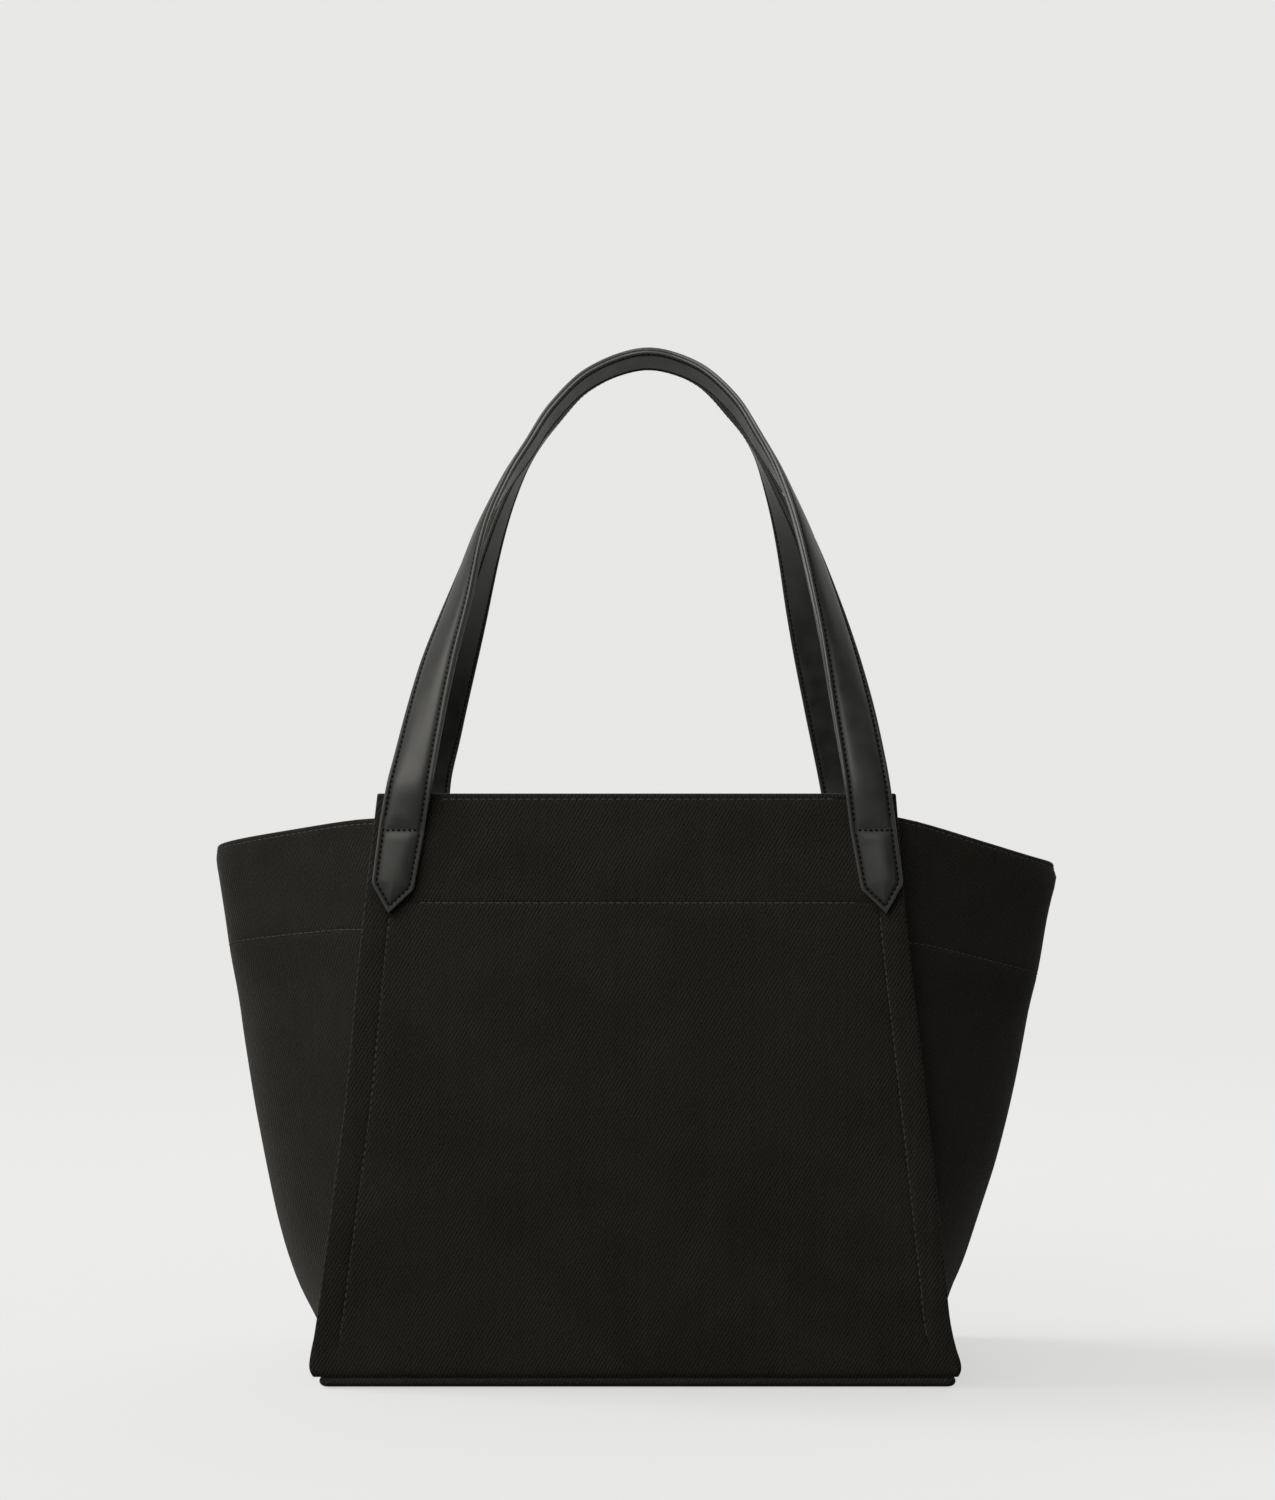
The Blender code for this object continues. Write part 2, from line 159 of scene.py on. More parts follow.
def opaque(colour: Colour) -> tuple[float, ...]:
    """Colour with full alpha, as a node's socket takes it."""
    return (*colour, 1.0)


def lerp(start: float, end: float, share: float) -> float:
    """Value at share of the way from start to end."""
    return start + (end - start) * share


def smooth(share: float) -> float:
    """Smooth step from 0 to 1, level at both ends."""
    share = clamp(share)
    return share * share * (3 - 2 * share)


def dip(distance: float, width: float) -> float:
    """Bell curve of height 1 at no distance, for grooves and low folds."""
    return math.exp(-((distance / width) ** 2))


@cache
def knot_slopes(knots: Knots) -> tuple[float, ...]:
    """Slope of a smooth curve at each of its knots."""
    pairs = zip(knots[:1] + knots[:-1], knots[1:] + knots[-1:])
    return tuple((after[1] - before[1]) / (after[0] - before[0]) for before, after in pairs)


def spline(knots: Knots, at: float) -> float:
    """Reads a smooth curve through (position, value) knots, straight beyond its ends.

    Args:
        knots: Positions in rising order with their values.
        at: The position to read.

    Returns:
        The value of the cubic curve there.
    """
    slopes = knot_slopes(knots)
    i = bisect_right(knots, at, key=lambda knot: knot[0]) - 1
    if not 0 <= i < len(knots) - 1:
        i = 0 if i < 0 else len(knots) - 1
        return knots[i][1] + slopes[i] * (at - knots[i][0])
    (x0, y0), (x1, y1) = knots[i], knots[i + 1]
    step = x1 - x0
    t = (at - x0) / step
    return (
        y0 * (2 * t**3 - 3 * t**2 + 1)
        + slopes[i] * step * (t**3 - 2 * t**2 + t)
        + y1 * (3 * t**2 - 2 * t**3)
        + slopes[i + 1] * step * (t**3 - t**2)
    )


def running_lengths(points: list[Vector]) -> list[float]:
    """Length of a polyline up to each of its points."""
    gaps = [(after - before).length for before, after in zip(points, points[1:])]
    return list(accumulate(gaps, initial=0.0))


def steps(start: float, end: float, count: int) -> list[float]:
    """Evenly spaced values from start to end, both included."""
    return [lerp(start, end, i / count) for i in range(count + 1)]


def clamp(share: float) -> float:
    """Share held between 0 and 1."""
    return min(1.0, max(0.0, share))


def waver(x: float, y: float, seed: float, size: float) -> float:
    """Slow noise between about -1 and 1 over a surface, for cloth that isn't quite flat."""
    return noise.noise(Vector((x / size, y / size, seed)), noise_basis="PERLIN_ORIGINAL")


# Node building


class NodeKit:
    """Adds and links nodes in one node tree."""

    def __init__(self, tree: Tree) -> None:
        """Keeps the tree that nodes are added to."""
        self.tree = tree

    def add(self, kind: str, inputs: dict | None = None, **settings: object) -> Node:
        """Adds a node.

        Args:
            kind: Blender's name of the node type.
            inputs: Values or sockets for the node's inputs, by name or index.
            settings: Properties to set before the inputs.

        Returns:
            The node.
        """
        node = self.tree.nodes.new(kind)
        for key, value in settings.items():
            setattr(node, key, value)
        self.fill(node, inputs or {})
        return node

    def fill(self, node: Node, inputs: dict) -> None:
        """Links a node's inputs to sockets, or sets their own values.

        Args:
            node: The node.
            inputs: A socket or a value for each input, by name or index.
        """
        for key, value in inputs.items():
            if isinstance(value, Socket):
                self.tree.links.new(value, node.inputs[key])
            else:
                node.inputs[key].default_value = value

    def math(self, operation: str, *values: Value) -> Socket:
        """Result of one Math node."""
        return self.add("ShaderNodeMath", dict(enumerate(values)), operation=operation).outputs[0]

    def mix(self, share: Value, first: object, second: object) -> Socket:
        """Colour between two colours."""
        inputs = {0: share, 6: first, 7: second}
        return self.add("ShaderNodeMix", inputs, data_type="RGBA").outputs[2]

    def span(self, value: Value, low: float, high: float, start: float, end: float) -> Socket:
        """Value mapped from low..high to start..end, held at the ends."""
        inputs = {0: value, 1: low, 2: high, 3: start, 4: end}
        return self.add("ShaderNodeMapRange", inputs).outputs[0]

    def uv(self, name: str) -> Socket:
        """Coordinates of one UV map."""
        return self.add("ShaderNodeUVMap", uv_map=name).outputs[0]

    def noise(self, vector: Value, scale: Value, detail: float = 2.0) -> Socket:
        """Value of a Noise Texture."""
        inputs = {"Vector": vector, "Scale": scale, "Detail": detail}
        return self.add("ShaderNodeTexNoise", inputs).outputs[0]

    def bump(self, shader: Node, height: Value, strength: float, distance: float) -> None:
        """Raises a shader's surface by a height, through a Bump node on its normal."""
        inputs = {"Height": height, "Strength": strength, "Distance": distance}
        self.fill(shader, {"Normal": self.add("ShaderNodeBump", inputs).outputs[0]})

    def group(self, tree: Tree, inputs: dict) -> Node:
        """Places a node group with its own values."""
        return self.add("ShaderNodeGroup", inputs, node_tree=tree)


class SharedGroups:
    """Node groups that several finishes share, each built once, when first asked for."""

    def start(
        self, name: str, inputs: dict[str, float | None], outputs: tuple[str, ...]
    ) -> tuple[NodeKit, dict[str, Socket], Node]:
        """Makes an empty group with named sockets.

        Args:
            name: The group's name.
            inputs: Default of each value input; None makes a vector input.
            outputs: Names of the value outputs.

        Returns:
            A kit for the group's tree, its input sockets by name, and its output node.
        """
        tree = bpy.data.node_groups.new(name, "ShaderNodeTree")
        for key, default in inputs.items():
            kind = "NodeSocketVector" if default is None else "NodeSocketFloat"
            socket = tree.interface.new_socket(name=key, in_out="INPUT", socket_type=kind)
            if default is not None:
                socket.default_value = default
        for key in outputs:
            tree.interface.new_socket(name=key, in_out="OUTPUT", socket_type="NodeSocketFloat")
        kit = NodeKit(tree)
        entry = kit.add("NodeGroupInput")
        leave = kit.add("NodeGroupOutput")
        return kit, {socket.name: socket for socket in entry.outputs if socket.name}, leave

    @cache
    def weave(self, weave: Weave) -> Tree:
        """Group for a woven surface: its height, where a yarn lies on top, and each yarn's tone.

        Args:
            weave: How the cloth is woven.

        Returns:
            The group.
        """
        kit, entry, leave = self.start(
            weave.value,
            {"Surface": None, "Warp spacing": 0.0005, "Weft spacing": 0.0008, "Waver": 0.32},
            ("Height", "Rib", "Tone"),
        )
        split = kit.add("ShaderNodeSeparateXYZ", {0: entry["Surface"]})
        drift = kit.noise(entry["Surface"], scale=260.0, detail=4.0)
        drift = kit.math("MULTIPLY", kit.math("SUBTRACT", drift, 0.5), entry["Waver"])
        warp = kit.math("DIVIDE", split.outputs[0], entry["Warp spacing"])
        warp = kit.math("ADD", warp, kit.math("MULTIPLY", drift, 4.0))
        weft = kit.math("DIVIDE", split.outputs[1], entry["Weft spacing"])
        crown = [self.crown(kit, yarn) for yarn in (warp, weft)]
        if weave is Weave.TWILL:
            line = kit.math("MULTIPLY", kit.math("SUBTRACT", warp, weft), 0.25)
            ragged = kit.noise(entry["Surface"], scale=1500.0, detail=2.0)
            line = kit.math("MULTIPLY_ADD", kit.math("SUBTRACT", ragged, 0.5), 0.5, line)
            rib = self.crown(kit, line)
            over = kit.math("MULTIPLY_ADD", crown[0], 0.4, 0.6)
            under = kit.math("MULTIPLY", crown[1], 0.25)
        else:
            cells = kit.math("ADD", kit.math("FLOOR", warp), kit.math("FLOOR", weft))
            rib = kit.math("MODULO", cells, 2.0)
            over, under = crown
        height = kit.add("ShaderNodeMix", {0: rib, 2: under, 3: over}).outputs[0]
        yarn = {"W": kit.math("FLOOR", warp)}
        tone = kit.add("ShaderNodeTexWhiteNoise", yarn, noise_dimensions="1D").outputs[0]
        kit.fill(leave, {"Height": height, "Rib": rib, "Tone": tone})
        return kit.tree

    def crown(self, kit: NodeKit, turns: Value) -> Socket:
        """Rounded profile from 0 to 1 that repeats at each whole number of turns."""
        off = kit.math("ABSOLUTE", kit.math("MULTIPLY_ADD", kit.math("FRACT", turns), 2.0, -1.0))
        return kit.math("SUBTRACT", 1.0, kit.math("POWER", off, 2.0))

    def bent(self, kit: NodeKit, surface: Socket, scale: float, reach: float) -> Socket:
        """Places on a surface, pushed about so that cells laid on them aren't regular."""
        push = kit.add("ShaderNodeTexNoise", {"Vector": surface, "Scale": scale})
        offset = kit.add("ShaderNodeVectorMath", {0: push.outputs[1], 3: reach}, operation="SCALE")
        sides = {0: surface, 1: offset.outputs[0]}
        return kit.add("ShaderNodeVectorMath", sides, operation="ADD").outputs[0]

    @cache
    def lint(self) -> Tree:
        """Group for stray fibres and dust: a mask of small scattered specks."""
        kit, entry, leave = self.start(
            "Lint", {"Surface": None, "Size": 0.001, "Amount": 0.5}, ("Mask",)
        )
        surface = entry["Surface"]
        scale = kit.math("DIVIDE", 1.0, entry["Size"])
        place = self.bent(kit, surface, 900.0, 0.0012)
        cells = kit.add("ShaderNodeTexVoronoi", {"Vector": place, "Scale": scale})
        speck = kit.span(cells.outputs["Distance"], 0.06, 0.24, 1.0, 0.0)
        patch = kit.span(kit.noise(surface, scale=60.0, detail=4.0), 0.45, 0.7, 0.0, 1.0)
        mask = kit.math("MULTIPLY", kit.math("MULTIPLY", speck, patch), entry["Amount"])
        kit.fill(leave, {"Mask": mask})
        return kit.tree

    @cache
    def drift(self) -> Tree:
        """Group for slow changes of tone over a surface, between 0 and 1."""
        kit, entry, leave = self.start("Tone drift", {"Surface": None, "Size": 0.05}, ("Tone",))
        scale = kit.math("DIVIDE", 1.0, entry["Size"])
        made = kit.noise(entry["Surface"], scale, detail=4.0)
        kit.fill(leave, {"Tone": kit.span(made, 0.3, 0.7, 0.0, 1.0)})
        return kit.tree

    @cache
    def grain(self) -> Tree:
        """Group for leather: the height of its pebbles and a mask of the lines between them."""
        kit, entry, leave = self.start(
            "Leather grain", {"Surface": None, "Pebble": 0.0007}, ("Height", "Lines")
        )
        surface = entry["Surface"]
        scale = kit.math("DIVIDE", 1.0, entry["Pebble"])
        places = {"Vector": self.bent(kit, surface, 700.0, 0.0006), "Scale": scale}
        cells = kit.add("ShaderNodeTexVoronoi", places, feature="DISTANCE_TO_EDGE")
        pebble = kit.span(cells.outputs["Distance"], 0.0, 0.3, 0.0, 1.0)
        fine = kit.noise(surface, scale=5200.0, detail=3.0)
        drawn = {0: surface, 1: (0.12, 1.0, 1.0)}
        long = kit.add("ShaderNodeVectorMath", drawn, operation="MULTIPLY").outputs[0]
        creases = kit.span(kit.noise(long, scale=620.0, detail=3.0), 0.35, 0.65, 0.0, 1.0)
        height = kit.math("MULTIPLY_ADD", fine, 0.3, kit.math("MULTIPLY", pebble, 0.7))
        height = kit.math("MULTIPLY_ADD", creases, 0.9, height)
        kit.fill(leave, {"Height": height, "Lines": kit.math("SUBTRACT", 1.0, pebble)})
        return kit.tree

    @cache
    def edge(self) -> Tree:
        """Group for a band along an edge: a mask that fades inwards unevenly, which gives leather
        its sealed edge colour with a painted highlight on the rims.
        """
        kit, entry, leave = self.start(
            "Edge band", {"Edge": None, "Surface": None, "Width": 0.001}, ("Mask",)
        )
        distance = kit.add("ShaderNodeSeparateXYZ", {0: entry["Edge"]}).outputs[0]
        ragged = kit.noise(entry["Surface"], scale=400.0, detail=3.0)
        ragged = kit.math("MULTIPLY_ADD", ragged, 0.6, 0.7)
        reach = kit.math("DIVIDE", distance, kit.math("MULTIPLY", entry["Width"], ragged))
        kit.fill(leave, {"Mask": kit.span(reach, 0.35, 1.0, 1.0, 0.0)})
        return kit.tree

    @cache
    def seam(self) -> Tree:
        """Group for painted shade along the groove that thread presses into leather beside its
        edge.
        """
        kit, entry, leave = self.start(
            "Seam line", {"Edge": None, "Distance": 0.0026, "Width": 0.0019}, ("Mask",)
        )
        distance = kit.add("ShaderNodeSeparateXYZ", {0: entry["Edge"]}).outputs[0]
        off = kit.math("ABSOLUTE", kit.math("SUBTRACT", distance, entry["Distance"]))
        off = kit.math("DIVIDE", off, entry["Width"])
        kit.fill(leave, {"Mask": kit.span(off, 0.35, 1.0, 1.0, 0.0)})
        return kit.tree


GROUPS = SharedGroups()


def new_material(name: str) -> tuple[Material, NodeKit, Node]:
    """Makes a material.

    Args:
        name: The material's name.

    Returns:
        The material, a kit for its nodes and its Principled shader.
    """
    material = bpy.data.materials.new(name)
    material.use_nodes = True
    return material, NodeKit(material.node_tree), material.node_tree.nodes["Principled BSDF"]


@dataclass(frozen=True)
class ClothFinish:
    """A woven cloth: its yarns, their colours and how far they stand up."""

    name: str
    weave: Weave
    dark: Colour
    light: Colour
    warp: float
    weft: float
    relief: float
    roughness: float = 0.9
    rib_polish: float = -0.08
    sheen: float = 0.15
    sheen_roughness: float = 0.35
    sheen_tint: Colour = (1.0, 0.96, 0.86)
    specular: float = 0.05
    lint: float = 0.35
    lint_gain: float = 3.2
    drift_size: float = 0.06
    base_tone: float = -0.30
    yarn_tone: float = 0.06
    drift_tone: float = 0.14
    fibre_tone: float = 1.1
    fibre_scale: float = 1100.0
    yarn_shade_patch_scale: float = 45.0
    yarn_shade_least: float = 0.45
    yarn_shade_most: float = 0.90
    fuzz: float = 0.4
    fuzz_scale: float = 4200.0
    bump: float = 0.9

    def material(self) -> Material:
        """Builds the material: its painted shade of the weave makes it lightest where yarns stand
        up and darker between them, less so in some patches.
        """
        material, kit, shader = new_material(self.name)
        surface = kit.uv(SURFACE_UV)
        yarns = {"Surface": surface, "Warp spacing": self.warp, "Weft spacing": self.weft}
        woven = kit.group(GROUPS.weave(self.weave), yarns).outputs
        drift = kit.group(GROUPS.drift(), {"Surface": surface, "Size": self.drift_size})
        lint = kit.group(GROUPS.lint(), {"Surface": surface, "Amount": self.lint})
        fibre = kit.noise(surface, self.fibre_scale, detail=3.0)
        lit: Value = self.base_tone
        for part, gain in (
            (woven["Tone"], self.yarn_tone),
            (drift.outputs["Tone"], self.drift_tone),
            (fibre, self.fibre_tone),
        ):
            lit = kit.math("MULTIPLY_ADD", part, gain, lit)
        # Painted shade of the weave: the yarns' height lightens the colour on their crowns and
        # darkens it between them, to a depth that changes in patches.
        worn = kit.noise(surface, self.yarn_shade_patch_scale, detail=3.0)
        clear = kit.span(worn, 0.35, 0.65, self.yarn_shade_least, self.yarn_shade_most)
        lit = kit.math("ADD", lit, kit.math("MULTIPLY", woven["Height"], clear))
        lit = kit.math("MULTIPLY_ADD", clear, -0.5, lit)
        colour = kit.mix(lit, opaque(self.dark), opaque(self.light))
        speck = tuple(min(1.0, self.lint_gain * part) for part in self.light)
        colour = kit.mix(lint.outputs["Mask"], colour, opaque(speck))
        dull = self.roughness + 0.04
        uniform = {
            "Sheen Weight": self.sheen,
            "Sheen Roughness": self.sheen_roughness,
            "Sheen Tint": opaque(self.sheen_tint),
            "Specular IOR Level": self.specular,
        }
        rough = kit.math("MULTIPLY_ADD", woven["Rib"], self.rib_polish, dull)
        kit.fill(shader, {"Base Color": colour, "Roughness": rough, **uniform})
        fuzz = kit.noise(surface, self.fuzz_scale)
        height = kit.math("MULTIPLY_ADD", fuzz, self.fuzz, woven["Height"])
        kit.bump(shader, height, self.bump, self.relief)
        return material


@dataclass(frozen=True)
class LeatherFinish:
    """Smooth dyed leather with sealed edges lightened by a painted highlight, and painted shade
    along its sewn grooves.
    """

    name: str = "Black leather"
    dark: Colour = (0.0098, 0.0098, 0.0085)
    light: Colour = (0.0200, 0.0200, 0.0175)
    sealed_edge_and_highlight: Colour = (0.058, 0.057, 0.051)
    pressed: Colour = (0.0045, 0.0045, 0.0043)
    roughness: float = 0.39
    drift_size: float = 0.012
    drift_dull: float = 0.10
    line_dull: float = 0.08
    edge_width: float = 0.0007
    edge_polish: float = -0.20
    seam_dull: float = 0.30
    gloss: float = 0.48
    gloss_tint: Colour = (1.0, 0.985, 0.93)
    bump: float = 0.35
    relief: float = 0.00005

    def material(self) -> Material:
        """Builds the material."""
        material, kit, shader = new_material(self.name)
        surface, rim = kit.uv(SURFACE_UV), kit.uv(EDGE_UV)
        grain = kit.group(GROUPS.grain(), {"Surface": surface})
        drift = kit.group(GROUPS.drift(), {"Surface": surface, "Size": self.drift_size})
        band = {"Edge": rim, "Surface": surface, "Width": self.edge_width}
        edge = kit.group(GROUPS.edge(), band)
        seam = kit.group(GROUPS.seam(), {"Edge": rim})
        colour = kit.mix(drift.outputs["Tone"], opaque(self.dark), opaque(self.light))
        # The rims take the sealed edge colour, lighter than edge paint alone because a painted
        # highlight is mixed into it.
        colour = kit.mix(edge.outputs["Mask"], colour, opaque(self.sealed_edge_and_highlight))
        # Painted shade: the leather is darkened along the sewn groove and the margin beside it.
        colour = kit.mix(seam.outputs["Mask"], colour, opaque(self.pressed))
        rough: Value = self.roughness - 0.05
        for mask, change in (
            (drift.outputs["Tone"], self.drift_dull),
            (grain.outputs["Lines"], self.line_dull),
            (edge.outputs["Mask"], self.edge_polish),
            (seam.outputs["Mask"], self.seam_dull),
        ):
            rough = kit.math("MULTIPLY_ADD", mask, change, rough)
        uniform = {"Specular IOR Level": self.gloss, "Specular Tint": opaque(self.gloss_tint)}
        kit.fill(shader, {"Base Color": colour, "Roughness": rough, **uniform})
        kit.bump(shader, grain.outputs["Height"], self.bump, self.relief)
        return material


@dataclass(frozen=True)
class ThreadFinish:
    """Twisted sewing thread."""

    name: str
    dark: Colour
    light: Colour
    roughness: float
    specular: float
    twist: float = 2600.0
    drift_size: float = 0.01
    bump: float = 0.6
    relief: float = 0.00006

    def material(self) -> Material:
        """Builds the material."""
        material, kit, shader = new_material(self.name)
        surface = kit.uv(SURFACE_UV)
        around, along = kit.add("ShaderNodeSeparateXYZ", {0: surface}).outputs[:2]
        ply = GROUPS.crown(kit, kit.math("ADD", around, kit.math("MULTIPLY", along, self.twist)))
        drift = kit.group(GROUPS.drift(), {"Surface": surface, "Size": self.drift_size})
        # Painted shade of the twist: each ply is lighter on its crown and darker where it sinks
        # between plies.
        tone = kit.math("MULTIPLY_ADD", drift.outputs["Tone"], 0.4, kit.math("MULTIPLY", ply, 0.6))
        colour = kit.mix(tone, opaque(self.dark), opaque(self.light))
        uniform = {"Roughness": self.roughness, "Specular IOR Level": self.specular}
        kit.fill(shader, {"Base Color": colour, **uniform})
        kit.bump(shader, ply, self.bump, self.relief)
        return material


@dataclass(frozen=True)
class FibreFinish:
    """Pressed or foamed filling that shows no weave: felt, foam and board."""

    name: str
    dark: Colour
    light: Colour
    fibre: float
    roughness: float = 0.93
    drift_size: float = 0.02
    flecks: float = 0.6
    bump: float = 0.5
    relief: float = 0.0001

    def material(self) -> Material:
        """Builds the material; it has no UV map to read, so it reads the object's own space."""
        material, kit, shader = new_material(self.name)
        place = kit.add("ShaderNodeTexCoord").outputs["Object"]
        drift = kit.group(GROUPS.drift(), {"Surface": place, "Size": self.drift_size})
        scatter = {"Surface": place, "Size": self.fibre, "Amount": self.flecks}
        lint = kit.group(GROUPS.lint(), scatter)
        strands = kit.noise(place, 1.0 / self.fibre, detail=5.0)
        strand_tone = kit.math("MULTIPLY", strands, 0.6)
        tone = kit.math("MULTIPLY_ADD", drift.outputs["Tone"], 0.4, strand_tone)
        colour = kit.mix(tone, opaque(self.dark), opaque(self.light))
        colour = kit.mix(lint.outputs["Mask"], colour, opaque(self.dark))
        kit.fill(shader, {"Base Color": colour, "Roughness": self.roughness})
        kit.bump(shader, strands, self.bump, self.relief)
        return material


@dataclass
class Finishes:
    """Every finish of the bag, built once."""

    twill: Material = field(
        default_factory=ClothFinish(
            "Black twill", Weave.TWILL, dark=(0.0028, 0.0026, 0.0020),
            light=(0.0375, 0.0354, 0.0288), warp=0.00050, weft=0.00087, relief=0.00022,
        ).material
    )
    lining: Material = field(
        default_factory=ClothFinish(
            "Black lining", Weave.PLAIN, dark=(0.0090, 0.0090, 0.0092),
            light=(0.0230, 0.0230, 0.0235), warp=0.00028, weft=0.00030, relief=0.00005,
            roughness=0.62, sheen=0.1, specular=0.4, lint=0.15,
        ).material
    )
    webbing: Material = field(
        default_factory=ClothFinish(
            "Handle band webbing", Weave.PLAIN, dark=(0.015, 0.015, 0.015),
            light=(0.045, 0.045, 0.045), warp=0.0011, weft=0.0014, relief=0.0003, roughness=0.85,
        ).material
    )
    leather: Material = field(default_factory=LeatherFinish().material)
    cloth_thread: Material = field(
        default_factory=ThreadFinish(
            "Cloth thread", dark=(0.026, 0.025, 0.022), light=(0.075, 0.072, 0.063),
            roughness=0.75, specular=0.2,
        ).material
    )
    leather_thread: Material = field(
        default_factory=ThreadFinish(
            "Leather thread", dark=(0.0015, 0.0015, 0.0015), light=(0.006, 0.006, 0.006),
            roughness=0.6, specular=0.05,
        ).material
    )
    felt: Material = field(
        default_factory=FibreFinish(
            "Stiffener felt", dark=(0.12, 0.12, 0.11), light=(0.24, 0.24, 0.23), fibre=0.0008
        ).material
    )
    foam: Material = field(
        default_factory=FibreFinish(
            "Foam filler", dark=(0.25, 0.24, 0.22), light=(0.40, 0.39, 0.37), fibre=0.0005
        ).material
    )
    board: Material = field(
        default_factory=FibreFinish(
            "Base board", dark=(0.15, 0.135, 0.11), light=(0.27, 0.25, 0.21), fibre=0.0015
        ).material
    )


# Mesh building


class PieceMesh:
    """Collects faces with their UV places and turns them into one object."""

    def __init__(self) -> None:
        """Starts an empty mesh with both UV maps."""
        self.bm = bmesh.new()
        self.surface = self.bm.loops.layers.uv.new(SURFACE_UV)
        self.edge = self.bm.loops.layers.uv.new(EDGE_UV)

    def patch(
        self,
        points: Grid,
        places: list[list[tuple[float, float]]],
        edges: list[float] | None = None,
        closed: bool = False,
    ) -> list[Ring]:
        """Adds a grid of quads.

        Args:
            points: Rows of points.
            places: UV place of each point; a closed grid has one more in each row.
            edges: Distance of each column from the piece's edge.
            closed: Whether each row is a ring.

        Returns:
            The vertices, row by row.
        """
        verts = [[self.bm.verts.new(point) for point in row] for row in points]
        across = len(points[0])
        edges = edges or [1.0] * across
        for r in range(len(points) - 1):
            for c in range(across if closed else across - 1):
                n = (c + 1) % across
                corners = ((r, c, c), (r, n, c + 1), (r + 1, n, c + 1), (r + 1, c, c))
                face = self.bm.faces.new([verts[i][j] for i, j, _ in corners])
                for loop, (i, j, k) in zip(face.loops, corners):
                    loop[self.surface].uv = places[i][k]
                    loop[self.edge].uv = (edges[j], 0.0)
        return verts

    def bridge(
        self, first: Ring, second: Ring, first_places: list[Vector], second_places: list[Vector]
    ) -> None:
        """Joins two rings of vertices by a band of quads.

        Args:
            first: One ring.
            second: The other, with as many vertices.
            first_places: UV place of each vertex of the first.
            second_places: UV place of each vertex of the second.
        """
        count = len(first)
        for a in range(count):
            b = (a + 1) % count
            face = self.bm.faces.new((first[a], first[b], second[b], second[a]))
            corners = (first_places[a], first_places[b], second_places[b], second_places[a])
            for loop, place in zip(face.loops, corners):
                loop[self.surface].uv = place
                loop[self.edge].uv = (1.0, 0.0)

    def cap(self, ring: Ring) -> None:
        """Closes a ring of vertices with one face."""
        for loop in self.bm.faces.new(ring).loops:
            loop[self.surface].uv = loop.vert.co.xy
            loop[self.edge].uv = (0.0, 0.0)

    def tube(
        self,
        rings: Grid,
        places: list[list[tuple[float, float]]],
        edges: list[float] | None = None,
    ) -> None:
        """Adds a closed tube with a cap at each end.

        Args:
            rings: Its rings of points.
            places: UV place of each point, with one more in each row.
            edges: Distance of each column from the piece's edge.
        """
        verts = self.patch(rings, places, edges, closed=True)
        self.cap(verts[0])
        self.cap(verts[-1])

    def finish(self, name: str, material: Material) -> Thing:
        """Makes the object, smooth and facing outwards."""
        bmesh.ops.recalc_face_normals(self.bm, faces=self.bm.faces)
        mesh = bpy.data.meshes.new(name)
        self.bm.to_mesh(mesh)
        self.bm.free()
        mesh.materials.append(material)
        mesh.shade_smooth()
        mesh.set_sharp_from_angle(angle=SHARP_ANGLE)
        made = bpy.data.objects.new(name, mesh)
        bpy.context.scene.collection.objects.link(made)
        return made


def cloth_places(points: Grid, turned: bool) -> list[list[tuple[float, float]]]:
    """UV places along a cloth in metres, measured from its middle column and its lowest row.

    Args:
        points: Rows of points on the cloth, lowest row first.
        turned: Whether the rows run left, seen from outside.

    Returns:
        A place for each point.
    """
    sign = -1 if turned else 1
    middle = len(points[0]) // 2
    across = [running_lengths(row) for row in points]
    up = [running_lengths([row[c] for row in points]) for c in range(len(points[0]))]
    return [
        [(sign * (lengths[c] - lengths[middle]), up[c][r]) for c in range(len(lengths))]
        for r, lengths in enumerate(across)
    ]


def grid_normals(points: Grid) -> Grid:
    """Directions square to a grid of points, on the side where rows turn up from columns.

    Args:
        points: Rows of points.

    Returns:
        A unit vector for each point.
    """
    rows, across = len(points), len(points[0])
    normals = []
    for r in range(rows):
        line = []
        for c in range(across):
            along = points[r][min(c + 1, across - 1)] - points[r][max(c - 1, 0)]
            up = points[min(r + 1, rows - 1)][c] - points[max(r - 1, 0)][c]
            line.append(along.cross(up).normalized())
        normals.append(line)
    return normals


def border(rows: int, across: int) -> list[tuple[int, int, int, int]]:
    """Places round a grid's border, each with the place next to it inside the grid."""
    last_row, last = rows - 1, across - 1
    ring = [(0, c) for c in range(across)]
    ring += [(r, last) for r in range(1, rows)]
    ring += [(last_row, c) for c in reversed(range(last))]
    ring += [(r, 0) for r in reversed(range(1, last_row))]
    return [
        (r, c, min(max(r, 1), last_row - 1), min(max(c, 1), last - 1)) for r, c in ring
    ]


